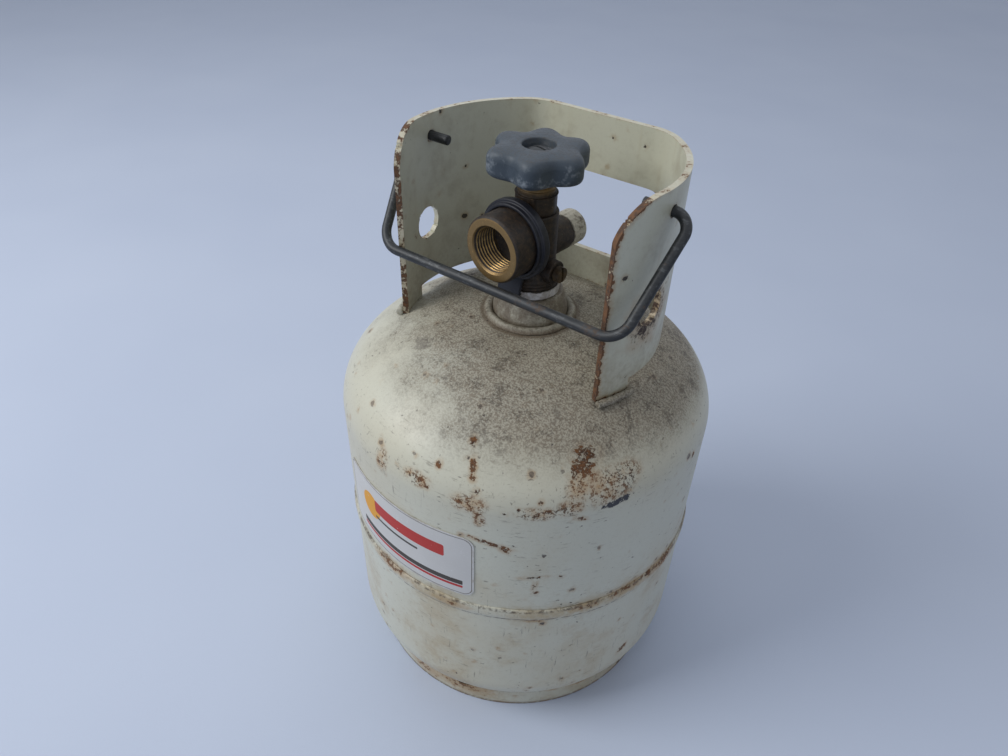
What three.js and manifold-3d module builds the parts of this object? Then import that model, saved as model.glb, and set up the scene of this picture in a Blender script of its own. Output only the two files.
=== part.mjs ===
// A small upright steel cylinder for liquefied gas: two drawn halves welded at the girth, a foot ring,
// a welded sheet collar round a brass valve, and a wire bail handle sprung into the collar.
// Millimetres, +Z up. The origin is the middle of the foot ring's underside, and the outlet looks to -Y.
import * as THREE from "three";
import { mergeVertices } from "three/addons/utils/BufferGeometryUtils.js";
import Module from "manifold-3d";

const wasm = await Module();
wasm.setup();
const DEG = Math.PI / 180;

// Clearances
const FIT_GAP = 0.3; // between pieces that touch, screw together or are welded
const RUN_GAP = 0.5; // round pieces that turn or slide

// Pressure vessel
const TANK_RADIUS = 101.6;
const SHELL_WALL = 1.8;
const HEAD_RISE = 50.8; // upper head, from its tangent line to its crest
const BODY_LENGTH = 144; // straight wall between the two tangent lines
const KNUCKLE_RADIUS = 28; // corner of the lower head
const CROWN_RADIUS = 800; // nearly flat belly of the lower head
const FLOOR_CLEARANCE = 5.9; // from the belly down to the floor
const SEAM_RISE = 69.6; // middle of the girth weld above the lower tangent line
const SEAM_WIDTH = 8;
const SEAM_CROWN = 1.2;
const SEAM_ROOT = 5; // gap between the halves that the weld fills
const JOGGLE_LENGTH = 12; // how far the lower half reaches up inside the upper half

// Foot ring
const FOOT_RING_INSET = 9.1; // from the tank's side in to the ring's outside
const FOOT_RING_WALL = 2.5;
const VENT_COUNT = 3;
const VENT_LENGTH = 22;
const VENT_DEPTH = 4.5;
const VENT_HEADING = -74.3;
const STITCH_RADIUS = 2;
const STITCH_LENGTH = 40;

// Valve boss
const BOSS_RADIUS = 19.5;
const BOSS_TOP_RADIUS = 16.5;
const BOSS_STAND = 12.7; // boss top above the crest of the dome
const BOSS_SKIRT = 4; // boss below the inside of the shell
const BOSS_LAND = 3; // straight part above the dome, before the boss narrows
const BOSS_WELD_WIDTH = 5;
const BOSS_WELD_HEIGHT = 2.6;

// Collar
const COLLAR_RADIUS = 69;
const COLLAR_WALL = 3;
const COLLAR_RISE = 86.4; // rim above the crest of the dome
const COLLAR_MOUTH = 28; // degrees from the side line to each front edge
const COLLAR_FLAT_INSET = 10.5; // flat back, in from the round outline
const COLLAR_BLEND = 25; // bend between the round sides and the flat back
const COLLAR_CORNER = 22; // rounding of the front top corners
const FOOT_WIDTH = 20; // each front foot, along the wall
const BACK_FOOT_WIDTH = 28;
const ARCH_GAP = 7.7; // lower edge of the wall above the dome
const WINDOW_WIDTH = 90;
const WINDOW_HEIGHT = 45;
const WINDOW_CORNER = 12;
const WINDOW_BELOW_RIM = 30.7;
const SIDE_HOLE_RADIUS = 8.75;
const SIDE_HOLE_BELOW_RIM = 57.2;
const SIDE_HOLE_FORWARD = 4.3;
const COLLAR_WELD_RADIUS = 1.9;

// Bail handle
const BAIL_ROD = 5;
const BAIL_REACH = 60; // pivot line to the middle of the grip
const BAIL_STANDOFF = 8; // top of each arm, out from the collar
const BAIL_GRIP_STANDOFF = 3.5; // bottom of each arm, out from the collar
const BAIL_PIN_INSIDE = 11; // pin past the inside of the collar
const BAIL_PIN_BEND = 8;
const BAIL_GRIP_BEND = 12;
const PIVOT_BELOW_RIM = 11.2;
const PIVOT_BACK = 1;

// Valve body
const VALVE_HEADING = -5.6; // the outlet's turn from straight ahead, in degrees
const SHANK_RADIUS = 13.4;
const SHANK_TAPER = 1 / 32;
const SHANK_SHOW = 9; // shank in sight above the boss
const TAPE_HEIGHT = 4.2;
const TAPE_WALL = 0.8;
const BODY_RADIUS = 11.5;
const OUTLET_RISE = 23.2; // outlet line above the shank
const OUTLET_RADIUS = 16.45;
const OUTLET_BORE = 11.07;
const OUTLET_DEPTH = 15;
const OUTLET_PASSAGE = 4;
const OUTLET_LIP = 1; // chamfer of the outlet's rim and of its shoulder
const OUTLET_SETBACK = 1.2; // outlet face behind the collar's front edges
const RELIEF_BELOW_OUTLET = 8.9;
const RELIEF_RADIUS = 9.15;
const RELIEF_LENGTH = 21.8;
const RELIEF_NOSE_LENGTH = 6.5;
const RELIEF_BORE = 5.4;
const BLEEDER_RISE = 5; // bleeder line above the shank
const BLEEDER_RADIUS = 6;
const BLEEDER_LENGTH = 15.5;
const BODY_TOP_RISE = 10.8; // top of the body above the outlet line
const SEAT_BELOW_OUTLET = 11;
const CHAMBER_RADIUS = 6.6;
const INLET_RADIUS = 5;
const SEAT_HOLE_RADIUS = 3.4;
const RISER_RADIUS = 1.2; // passage up to the relief valve

// Valve trim
const BONNET_RADIUS = 10.5;
const BONNET_HEIGHT = 9;
const BONNET_NECK_RADIUS = 9;
const BONNET_NECK_HEIGHT = 6;
const BONNET_PLUG_WALL = 2.2;
const BONNET_PLUG_LENGTH = 5.5;
const STEM_RADIUS = 4;
const STEM_TIP_RADIUS = 3;
const STEM_SHOULDER = 2.2;
const SEAL_WIRE = 1.1;
const TANG_WIDTH = 6;
const TANG_THICKNESS = 2.4;
const TANG_GRIP = 3; // tang inside the spindle's slot when the valve is shut
const SPINDLE_LIFT = 4;
const SPINDLE_HEIGHT = 13;
const SEAT_DISC_RADIUS = 4.6;
const SEAT_DISC_HEIGHT = 2.6;
const SEAT_POCKET = 2;

// Handwheel
const HANDWHEEL_RADIUS = 25;
const HANDWHEEL_HEIGHT = 13.5;
const HANDWHEEL_STAND = 3.2; // rim above the bonnet
const LOBE_COUNT = 6;
const LOBE_DEPTH = 4;
const HANDWHEEL_EDGE = 3.5;
const HANDWHEEL_RIM_WALL = 8;
const HANDWHEEL_WEB = 3.5;
const HUB_RADIUS = 7;
const HUB_STAND = 0.8; // hub above the bonnet
const RECESS_RADIUS = 8;
const RECESS_DEPTH = 4.5;
const SCREW_RADIUS = 1.7;
const SCREW_LENGTH = 8;
const SCREW_HEAD_RADIUS = 4.6;
const SCREW_HEAD_HEIGHT = 2.4;
const SCREW_SLOT = 1;

// Relief valve, bleeder and dip tube
const POPPET_DISC = 2.6;
const POPPET_STEM_RADIUS = 1.4;
const RELIEF_SEAL_RADIUS = 3.6;
const RELIEF_SEAL_HEIGHT = 1.5;
const RELIEF_SEAT_HOLE = 2.2;
const RELIEF_SEAT_BACK = 12.5; // relief seat from the valve's axis
const RETAINER_HEIGHT = 2.6;
const SPRING_WIRE = 1;
const SPRING_TURNS = 4.5;
const CAP_LENGTH = 10.6;
const CAP_WALL = 1.2;
const BLEEDER_BORE = 2.2;
const BLEEDER_HEAD_RADIUS = 4;
const BLEEDER_HEAD_HEIGHT = 3.6;
const BLEEDER_TIP = 9.8; // the screw's point from the valve's axis
const DIP_TUBE_RADIUS = 1.5;
const DIP_TUBE_BORE = 0.9;
const DIP_TUBE_LENGTH = 71;
const DIP_TUBE_SOCKET = 6;

// Plug strap and label
const STRAP_WALL = 3.35;
const STRAP_RING_WIDTH = 4;
const STRAP_STEP = 2.2;
const STRAP_STEP_WALL = 1.7;
const STRAP_TAIL_WIDTH = 14;
const STRAP_TAIL_WALL = 2;
const STRAP_TAIL_END = 2.5; // tail's end above the boss
const LABEL_WIDTH = 92;
const LABEL_HEIGHT = 45;
const LABEL_WALL = 0.5;
const LABEL_CORNER = 6;
const LABEL_HEADING = -94.2;
const LABEL_RISE = 10.3; // label's lower edge above the middle of the girth weld

// Facets of the round pieces
const TANK_SIDES = 40;
const VALVE_SIDES = 24;
const SMALL_SIDES = 14;
const ROD_SIDES = 8;
const WIRE_SIDES = 6;
const LOBE_SIDES = 8; // facets of each lobe of the handwheel
const HEAD_STEPS = 10; // along the curve of the upper head
const HEAD_INNER_STEPS = 7;
const HEAD_CUT_STEPS = 20; // the same curve where the collar's feet are trimmed to it
const CROWN_STEPS = 2;
const KNUCKLE_STEPS = 5;
const BEND_STEPS = 7;
const CORNER_STEPS = 4;
const WELD_STEPS = 4;
const BEAD_STEPS = 6;
const SEAL_STEPS = 6;
const EDGE_STEPS = 2;
const LABEL_STEPS = 6;
const TURN_STEPS = 10; // along each turn of the spring
const BAIL_STEPS = 60;

// Heights, worked up from the floor
const knuckleMiddle = TANK_RADIUS - KNUCKLE_RADIUS;
const crownMiddleZ = FLOOR_CLEARANCE + CROWN_RADIUS;
const lowerTangentZ = crownMiddleZ - Math.sqrt((CROWN_RADIUS - KNUCKLE_RADIUS) ** 2 - knuckleMiddle ** 2);
const upperTangentZ = lowerTangentZ + BODY_LENGTH;
const seamZ = lowerTangentZ + SEAM_RISE;
const crestZ = upperTangentZ + HEAD_RISE;
const bossTopZ = crestZ + BOSS_STAND;
const bodyBaseZ = bossTopZ + SHANK_SHOW;
const outletZ = bodyBaseZ + OUTLET_RISE;
const reliefZ = outletZ - RELIEF_BELOW_OUTLET;
const bleederZ = bodyBaseZ + BLEEDER_RISE;
const bodyTopZ = outletZ + BODY_TOP_RISE;
const seatZ = outletZ - SEAT_BELOW_OUTLET;
const bonnetTopZ = bodyTopZ + FIT_GAP + BONNET_HEIGHT + BONNET_NECK_HEIGHT;
const rimZ = crestZ + COLLAR_RISE;

// Outer face of the upper head at a distance from the axis, or a parallel face further out
function domeZ(radius, outset = 0) {
  const share = radius / (TANK_RADIUS + outset);
  return upperTangentZ + (HEAD_RISE + outset) * Math.sqrt(1 - share * share);
}

// Outer face of the lower head's corner at a distance from the axis, or a parallel face further out
function knuckleZ(radius, outset = 0) {
  return lowerTangentZ - Math.sqrt((KNUCKLE_RADIUS + outset) ** 2 - (radius - knuckleMiddle) ** 2);
}

// Radius of the tapered shank at a height
function shankRadius(z) {
  return SHANK_RADIUS - SHANK_TAPER * (bodyBaseZ - z);
}

// A profile of radius and height pairs turned about the Z axis; a ring's profile is closed
function turned(profile, sides, closed = true) {
  const points = profile.map(([radius, z]) => new THREE.Vector2(radius, z));
  if (closed) points.push(points[0].clone());
  return new THREE.LatheGeometry(points, sides).rotateX(Math.PI / 2);
}

// Points of an elliptical arc in the profile plane, from one angle to another
function arc(middle, middleZ, radius, rise, from, to, steps) {
  const curve = new THREE.EllipseCurve(middle, middleZ, radius, rise, from, to, to < from);
  return curve.getPoints(steps).map((point) => [point.x, point.y]);
}

// A round bar between two distances along the Z axis
function bar(radius, from, to, sides) {
  const profile = [[0, from], [radius, from], [radius, to], [0, to]];
  return turned(profile, sides, false);
}

// Turns a piece made along +Z to lie along -Y, +Y or +X at a height
function toFront(geometry, z) {
  return geometry.rotateX(Math.PI / 2).translate(0, 0, z);
}
function toBack(geometry, z) {
  return geometry.rotateX(-Math.PI / 2).translate(0, 0, z);
}
function toRight(geometry, z) {
  return geometry.rotateY(Math.PI / 2).translate(0, 0, z);
}

// A closed solid for cutting and joining
function solidOf(geometry) {
  const bare = geometry.clone();
  bare.deleteAttribute("normal");
  bare.deleteAttribute("uv");
  const merged = mergeVertices(bare, 1e-4);
  const vertProperties = merged.attributes.position.array;
  const triVerts = new Uint32Array(merged.index.array);
  return new wasm.Manifold(new wasm.Mesh({ numProp: 3, vertProperties, triVerts }));
}

// The geometry of a solid
function geometryOf(solid) {
  const mesh = solid.getMesh();
  const geometry = new THREE.BufferGeometry();
  geometry.setAttribute("position", new THREE.BufferAttribute(mesh.vertProperties, 3));
  geometry.setIndex(new THREE.BufferAttribute(mesh.triVerts, 1));
  return geometry;
}

// A geometry cut by some geometries, after others are joined to it
function shaped(geometry, joined, cuts) {
  let solid = solidOf(geometry);
  for (const extra of joined) solid = solid.add(solidOf(extra));
  for (const cut of cuts) solid = solid.subtract(solidOf(cut));
  return geometryOf(solid);
}

// A flat shape pulled straight up
function extruded(shape, depth, curveSegments) {
  return new THREE.ExtrudeGeometry(shape, { depth, curveSegments, bevelEnabled: false });
}

// A round section carried along a curve
function rodAlong(curve, radius, sides, steps) {
  const section = new THREE.Shape().absarc(0, 0, radius, 0, 2 * Math.PI);
  const curveSegments = sides / 2;
  return new THREE.ExtrudeGeometry(section, { extrudePath: curve, steps, curveSegments });
}

// A rectangle with round corners, centred
function roundedRectangle(width, height, corner) {
  const x = width / 2 - corner;
  const y = height / 2 - corner;
  const shape = new THREE.Shape();
  shape.absarc(x, y, corner, 0, 90 * DEG);
  shape.absarc(-x, y, corner, 90 * DEG, 180 * DEG);
  shape.absarc(-x, -y, corner, 180 * DEG, 270 * DEG);
  shape.absarc(x, -y, corner, 270 * DEG, 360 * DEG);
  return shape;
}

// A level arc round the Z axis
class RingArc extends THREE.Curve {
  constructor(radius, z, middle, span) {
    super();
    Object.assign(this, { radius, z, middle, span });
  }
  getPoint(t, target = new THREE.Vector3()) {
    const angle = this.middle + (t - 0.5) * this.span;
    return target.set(this.radius * Math.cos(angle), this.radius * Math.sin(angle), this.z);
  }
}

// A flat path laid in the XZ plane
class UprightPath extends THREE.Curve {
  constructor(path) {
    super();
    this.path = path;
  }
  getPoint(t, target = new THREE.Vector3()) {
    const point = this.path.getPoint(t);
    return target.set(point.x, 0, point.y);
  }
}

// A coil along the Z axis
class Coil extends THREE.Curve {
  constructor(radius, from, to, turns) {
    super();
    Object.assign(this, { radius, from, to, turns });
  }
  getPoint(t, target = new THREE.Vector3()) {
    const angle = 2 * Math.PI * this.turns * t;
    const z = this.from + (this.to - this.from) * t;
    return target.set(this.radius * Math.cos(angle), this.radius * Math.sin(angle), z);
  }
}

// Finishes
function cream() {
  return new THREE.MeshStandardMaterial({ color: 0xcdd0c3, roughness: 0.45, metalness: 0.1 });
}
function bareSteel() {
  return new THREE.MeshStandardMaterial({ color: 0x4b505a, roughness: 0.4, metalness: 0.8 });
}
function dirtyBrass() {
  return new THREE.MeshStandardMaterial({ color: 0x6b5230, roughness: 0.55, metalness: 0.8 });
}
function rubber() {
  return new THREE.MeshStandardMaterial({ color: 0x1c1c1e, roughness: 0.8, metalness: 0 });
}
function wheelPaint() {
  return new THREE.MeshStandardMaterial({ color: 0x555f69, roughness: 0.5, metalness: 0.4 });
}
function paleCap() {
  return new THREE.MeshStandardMaterial({ color: 0xaaa59b, roughness: 0.7, metalness: 0 });
}
function strapPlastic() {
  return new THREE.MeshStandardMaterial({ color: 0x232632, roughness: 0.6, metalness: 0 });
}
function paper() {
  return new THREE.MeshStandardMaterial({ color: 0xd8d4c8, roughness: 0.5, metalness: 0 });
}
function whiteTape() {
  return new THREE.MeshStandardMaterial({ color: 0xbebec3, roughness: 0.8, metalness: 0 });
}

const cylinder = new THREE.Group();
const valve = new THREE.Group();
valve.rotation.z = VALVE_HEADING * DEG;
cylinder.add(valve);

function place(parent, name, geometry, material) {
  const mesh = new THREE.Mesh(geometry, material);
  mesh.name = name;
  parent.add(mesh);
  return mesh;
}

// Upper half of the vessel: straight wall and two-to-one elliptical dome with a hole for the boss
const bossHole = BOSS_RADIUS + FIT_GAP;
const rootLowZ = seamZ - SEAM_ROOT / 2;
const rootHighZ = seamZ + SEAM_ROOT / 2;
const innerRadius = TANK_RADIUS - SHELL_WALL;
const outerEnd = Math.acos(bossHole / TANK_RADIUS);
const innerEnd = Math.acos(bossHole / innerRadius);
const upperProfile = [
  [TANK_RADIUS, rootHighZ],
  ...arc(0, upperTangentZ, TANK_RADIUS, HEAD_RISE, 0, outerEnd, HEAD_STEPS),
  ...arc(0, upperTangentZ, innerRadius, HEAD_RISE - SHELL_WALL, innerEnd, 0, HEAD_INNER_STEPS),
  [innerRadius, rootHighZ],
];
place(cylinder, "upper_head", turned(upperProfile, TANK_SIDES), cream());

// Lower half: belly, corner, straight wall and a rim set in to slip inside the upper half
const joggle = SHELL_WALL + FIT_GAP;
const joggleRadius = TANK_RADIUS - joggle;
const joggleTopZ = seamZ + JOGGLE_LENGTH;
const crownSpan = Math.asin(knuckleMiddle / (CROWN_RADIUS - KNUCKLE_RADIUS));
const crownStart = -90 * DEG;
const crownEnd = crownStart + crownSpan;
const innerCrown = CROWN_RADIUS - SHELL_WALL;
const innerKnuckle = KNUCKLE_RADIUS - SHELL_WALL;
const lowerProfile = [
  ...arc(0, crownMiddleZ, CROWN_RADIUS, CROWN_RADIUS, crownStart, crownEnd, CROWN_STEPS).slice(0, -1),
  ...arc(knuckleMiddle, lowerTangentZ, KNUCKLE_RADIUS, KNUCKLE_RADIUS, crownEnd, 0, KNUCKLE_STEPS),
  [TANK_RADIUS, rootLowZ],
  [joggleRadius, rootLowZ + joggle],
  [joggleRadius, joggleTopZ],
  [joggleRadius - SHELL_WALL, joggleTopZ],
  [joggleRadius - SHELL_WALL, rootLowZ + joggle],
  [innerRadius, rootLowZ],
  ...arc(knuckleMiddle, lowerTangentZ, innerKnuckle, innerKnuckle, 0, crownEnd, KNUCKLE_STEPS),
  ...arc(0, crownMiddleZ, innerCrown, innerCrown, crownEnd, crownStart, CROWN_STEPS).slice(1),
];
lowerProfile[0][0] = 0;
lowerProfile.at(-1)[0] = 0;
place(cylinder, "lower_head", turned(lowerProfile, TANK_SIDES, false), cream());

// Girth weld: fills the groove between the halves and stands proud of the wall
const weldFoot = TANK_RADIUS + FIT_GAP;
const weldRoot = joggleRadius + FIT_GAP;
const seamProfile = [
  ...arc(weldFoot, seamZ, SEAM_CROWN - FIT_GAP, SEAM_WIDTH / 2, -90 * DEG, 90 * DEG, WELD_STEPS),
  [weldFoot, rootHighZ - FIT_GAP],
  [weldRoot, rootHighZ - FIT_GAP],
  [weldRoot, rootLowZ + joggle + FIT_GAP],
  [weldFoot, rootLowZ + FIT_GAP],
];
place(cylinder, "girth_weld", turned(seamProfile, TANK_SIDES), cream());

// Foot ring: rolled strip whose top edge follows the lower head, with shallow vents cut into that edge
const ringOuter = TANK_RADIUS - FOOT_RING_INSET;
const ringInner = ringOuter - FOOT_RING_WALL;
const ringTopZ = knuckleZ(ringOuter, FIT_GAP);
const ringProfile = [
  [ringInner, 0],
  [ringOuter, 0],
  [ringOuter, ringTopZ],
  [ringInner, knuckleZ(ringInner, FIT_GAP)],
];
const ventRadius = (VENT_LENGTH ** 2 / 4 + VENT_DEPTH ** 2) / (2 * VENT_DEPTH);
const ventSpacing = 360 / VENT_COUNT;
const vents = [];
for (let k = 0; k < VENT_COUNT; k++) {
  const vent = bar(ventRadius, ringInner - FOOT_RING_WALL, ringOuter + FOOT_RING_WALL, VALVE_SIDES);
  toRight(vent, ringTopZ + ventRadius - VENT_DEPTH);
  vents.push(vent.rotateZ((VENT_HEADING + k * ventSpacing) * DEG));
}
place(cylinder, "foot_ring", shaped(turned(ringProfile, TANK_SIDES), [], vents), cream());

// Stitch welds in the corner between the foot ring's inside and the lower head
const stitchAxis = ringInner * Math.cos(Math.PI / TANK_SIDES) - FIT_GAP - STITCH_RADIUS;
const stitchZ = knuckleZ(stitchAxis, STITCH_RADIUS + FIT_GAP);
for (let k = 0; k < VENT_COUNT; k++) {
  const middle = (VENT_HEADING + (k + 0.5) * ventSpacing) * DEG;
  const curve = new RingArc(stitchAxis, stitchZ, middle, STITCH_LENGTH / stitchAxis);
  const stitch = rodAlong(curve, STITCH_RADIUS, ROD_SIDES, BEAD_STEPS);
  place(cylinder, `foot_ring_weld_${k + 1}`, stitch, cream());
}

// Boss: turned steel hub with a tapered bore for the valve
const bossBottomZ = domeZ(BOSS_RADIUS) - SHELL_WALL - BOSS_SKIRT;
const bossLandZ = domeZ(BOSS_RADIUS) + BOSS_LAND;
const bossProfile = [
  [shankRadius(bossBottomZ) + FIT_GAP, bossBottomZ],
  [BOSS_RADIUS, bossBottomZ],
  [BOSS_RADIUS, bossLandZ],
  [BOSS_TOP_RADIUS, bossTopZ],
  [shankRadius(bossTopZ) + FIT_GAP, bossTopZ],
];
place(cylinder, "valve_boss", turned(bossProfile, VALVE_SIDES), cream());

// Weld bead round the boss, lying on the dome
const bossWeldInner = BOSS_RADIUS + FIT_GAP;
const bossWeldOuter = bossWeldInner + BOSS_WELD_WIDTH;
const bossWeldMiddle = (bossWeldInner + bossWeldOuter) / 2;
const bossWeldProfile = [
  [bossWeldInner, domeZ(bossWeldInner, FIT_GAP)],
  [bossWeldOuter, domeZ(bossWeldOuter, FIT_GAP)],
  [bossWeldOuter - BOSS_WELD_WIDTH / 8, domeZ(bossWeldOuter, FIT_GAP) + BOSS_WELD_HEIGHT / 2],
  [bossWeldMiddle, domeZ(bossWeldMiddle, FIT_GAP) + BOSS_WELD_HEIGHT],
  [bossWeldInner, domeZ(bossWeldInner, FIT_GAP) + BOSS_WELD_HEIGHT / 2],
];
place(cylinder, "boss_weld", turned(bossWeldProfile, VALVE_SIDES), cream());

// Collar: sheet bent to a round front and a flat back, seen here from above
const collarInner = COLLAR_RADIUS - COLLAR_WALL;
const flatY = COLLAR_RADIUS - COLLAR_FLAT_INSET;
const blendY = flatY - COLLAR_BLEND;
const blendX = Math.sqrt((COLLAR_RADIUS - COLLAR_BLEND) ** 2 - blendY ** 2);
const blendStart = Math.atan2(blendY, blendX);
const mouth = COLLAR_MOUTH * DEG;
const frontEdgeY = -COLLAR_RADIUS * Math.sin(mouth);
function collarOutline() {
  const innerBlend = COLLAR_BLEND - COLLAR_WALL;
  const outline = new THREE.Shape();
  outline.absarc(0, 0, COLLAR_RADIUS, -mouth, blendStart);
  outline.absarc(blendX, blendY, COLLAR_BLEND, blendStart, 90 * DEG);
  outline.absarc(-blendX, blendY, COLLAR_BLEND, 90 * DEG, Math.PI - blendStart);
  outline.absarc(0, 0, COLLAR_RADIUS, Math.PI - blendStart, Math.PI + mouth);
  outline.absarc(0, 0, collarInner, Math.PI + mouth, Math.PI - blendStart, true);
  outline.absarc(-blendX, blendY, innerBlend, Math.PI - blendStart, 90 * DEG, true);
  outline.absarc(blendX, blendY, innerBlend, 90 * DEG, blendStart, true);
  outline.absarc(0, 0, collarInner, blendStart, -mouth, true);
  return outline;
}

// The dome's outside as a solid, for trimming the collar's feet to it
function domeCutter() {
  const radius = TANK_RADIUS + FIT_GAP;
  const face = arc(0, upperTangentZ, radius, HEAD_RISE + FIT_GAP, 0, 90 * DEG, HEAD_CUT_STEPS);
  face.at(-1)[0] = 0;
  const base = upperTangentZ - HEAD_RISE;
  return turned([[0, base], [radius, base], ...face], TANK_SIDES, false);
}

// Open arch between a front foot and the back foot, on the right or mirrored to the left
const archZ = domeZ(COLLAR_RADIUS) + ARCH_GAP;
const archFront = -mouth + FOOT_WIDTH / COLLAR_RADIUS;
const archBack = Math.atan2(flatY, BACK_FOOT_WIDTH / 2);
function archCutter(side) {
  const reach = 2 * COLLAR_RADIUS;
  const middle = (archFront + archBack) / 2;
  const sector = new THREE.Shape();
  sector.moveTo(0, 0);
  for (const angle of [archFront, middle, archBack]) {
    sector.lineTo(side * reach * Math.cos(angle), reach * Math.sin(angle));
  }
  const depth = archZ - upperTangentZ + HEAD_RISE;
  return extruded(sector, depth, 1).translate(0, 0, archZ - depth);
}

// Hand window through the flat back
function windowCutter() {
  const shape = roundedRectangle(WINDOW_WIDTH, WINDOW_HEIGHT, WINDOW_CORNER);
  const middleZ = rimZ - WINDOW_BELOW_RIM - WINDOW_HEIGHT / 2;
  return toBack(extruded(shape, 2 * COLLAR_RADIUS, CORNER_STEPS), middleZ);
}

// What rounds off both front top corners, cut from side to side
function cornerCutter() {
  const over = COLLAR_CORNER;
  const shape = new THREE.Shape();
  shape.moveTo(frontEdgeY - over, rimZ - COLLAR_CORNER);
  shape.lineTo(frontEdgeY, rimZ - COLLAR_CORNER);
  shape.absarc(frontEdgeY + COLLAR_CORNER, rimZ - COLLAR_CORNER, COLLAR_CORNER, 180 * DEG, 90 * DEG, true);
  shape.lineTo(frontEdgeY + COLLAR_CORNER, rimZ + over);
  shape.lineTo(frontEdgeY - over, rimZ + over);
  const depth = 4 * COLLAR_RADIUS;
  const cutter = extruded(shape, depth, KNUCKLE_STEPS);
  return cutter.translate(0, 0, -depth / 2).rotateZ(90 * DEG).rotateY(90 * DEG);
}

// A round hole through both sides of the collar
function sideCutter(radius, y, z, sides) {
  return toRight(bar(radius, -2 * COLLAR_RADIUS, 2 * COLLAR_RADIUS, sides), z).translate(0, y, 0);
}

const pivotZ = rimZ - PIVOT_BELOW_RIM;
const collarBlank = extruded(collarOutline(), rimZ - upperTangentZ, BEND_STEPS);
collarBlank.translate(0, 0, upperTangentZ);
const collarCuts = [
  domeCutter(),
  archCutter(1),
  archCutter(-1),
  windowCutter(),
  cornerCutter(),
  sideCutter(SIDE_HOLE_RADIUS, -SIDE_HOLE_FORWARD, rimZ - SIDE_HOLE_BELOW_RIM, VALVE_SIDES),
  sideCutter(BAIL_ROD / 2 + RUN_GAP, PIVOT_BACK, pivotZ, SMALL_SIDES),
];
place(cylinder, "collar", shaped(collarBlank, [], collarCuts), cream());

// Weld beads along the outside of the collar's feet, one radius clear of the wall and of the dome
const beadAxis = COLLAR_RADIUS + FIT_GAP + COLLAR_WELD_RADIUS;
const beadZ = domeZ(beadAxis, COLLAR_WELD_RADIUS + FIT_GAP);
const beadSpan = FOOT_WIDTH / COLLAR_RADIUS;
const footMiddle = -mouth + beadSpan / 2;
function footBead(middle) {
  const curve = new RingArc(beadAxis, beadZ, middle, beadSpan);
  return rodAlong(curve, COLLAR_WELD_RADIUS, ROD_SIDES, BEAD_STEPS);
}
place(cylinder, "collar_weld_front_right", footBead(footMiddle), cream());
place(cylinder, "collar_weld_front_left", footBead(Math.PI - footMiddle), cream());
const backBeadY = flatY + FIT_GAP + COLLAR_WELD_RADIUS;
const backBeadZ = domeZ(backBeadY, COLLAR_WELD_RADIUS + FIT_GAP);
const backBead = new THREE.LineCurve3(
  new THREE.Vector3(-BACK_FOOT_WIDTH / 2, backBeadY, backBeadZ),
  new THREE.Vector3(BACK_FOOT_WIDTH / 2, backBeadY, backBeadZ),
);
place(cylinder, "collar_weld_back", rodAlong(backBead, COLLAR_WELD_RADIUS, ROD_SIDES, 1), cream());

// Bail handle: one bent rod, with its pins on the pivot line and its grip leaning on the collar's edges
function bailPath() {
  const tip = collarInner - BAIL_PIN_INSIDE;
  const top = COLLAR_RADIUS + BAIL_STANDOFF;
  const grip = COLLAR_RADIUS + BAIL_GRIP_STANDOFF;
  const lean = Math.atan2(top - grip, BAIL_REACH);
  const pinTurn = Math.tan((90 * DEG - lean) / 2) * BAIL_PIN_BEND;
  const gripTurn = Math.tan((90 * DEG + lean) / 2) * BAIL_GRIP_BEND;
  const gripX = grip - gripTurn;
  const gripY = BAIL_GRIP_BEND - BAIL_REACH;
  const path = new THREE.Path();
  path.moveTo(tip, 0);
  path.absarc(top - pinTurn, -BAIL_PIN_BEND, BAIL_PIN_BEND, 90 * DEG, -lean, true);
  path.absarc(gripX, gripY, BAIL_GRIP_BEND, -lean, -90 * DEG, true);
  path.absarc(-gripX, gripY, BAIL_GRIP_BEND, -90 * DEG, lean - 180 * DEG, true);
  path.absarc(pinTurn - top, -BAIL_PIN_BEND, BAIL_PIN_BEND, 180 * DEG + lean, 90 * DEG, true);
  path.lineTo(-tip, 0);
  return new UprightPath(path);
}
const gripY = frontEdgeY - BAIL_ROD / 2 - FIT_GAP;
const bail = new THREE.Group();
bail.position.set(0, PIVOT_BACK, pivotZ);
bail.rotation.x = Math.asin((gripY - PIVOT_BACK) / BAIL_REACH);
cylinder.add(bail);
place(bail, "bail_handle", rodAlong(bailPath(), BAIL_ROD / 2, ROD_SIDES, BAIL_STEPS), bareSteel());

// Valve body: one forging, drilled and bored from five sides
const shankBottomZ = bossBottomZ - FIT_GAP;
const outletReach = -frontEdgeY - OUTLET_SETBACK;
const outletNeck = BODY_TOP_RISE - FIT_GAP;
const outletStart = BONNET_RADIUS + FIT_GAP;
const reliefNose = RELIEF_RADIUS - CAP_WALL - FIT_GAP;
const reliefEnd = RELIEF_LENGTH + RELIEF_NOSE_LENGTH;
const bonnetPlugRadius = CHAMBER_RADIUS + BONNET_PLUG_WALL;
const bonnetPlugZ = bodyTopZ + FIT_GAP - BONNET_PLUG_LENGTH;
const riserX = (CHAMBER_RADIUS + BODY_RADIUS) / 2;
const spineProfile = [
  [0, shankBottomZ],
  [shankRadius(shankBottomZ), shankBottomZ],
  [SHANK_RADIUS, bodyBaseZ],
  [BODY_RADIUS, bodyBaseZ + SHANK_RADIUS - BODY_RADIUS],
  [BODY_RADIUS, bodyTopZ],
  [0, bodyTopZ],
];
const outletProfile = [
  [0, 0],
  [outletNeck, 0],
  [outletNeck, outletStart],
  [OUTLET_RADIUS, outletStart + OUTLET_LIP],
  [OUTLET_RADIUS, outletReach - OUTLET_LIP],
  [OUTLET_RADIUS - OUTLET_LIP, outletReach],
  [0, outletReach],
];
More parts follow.
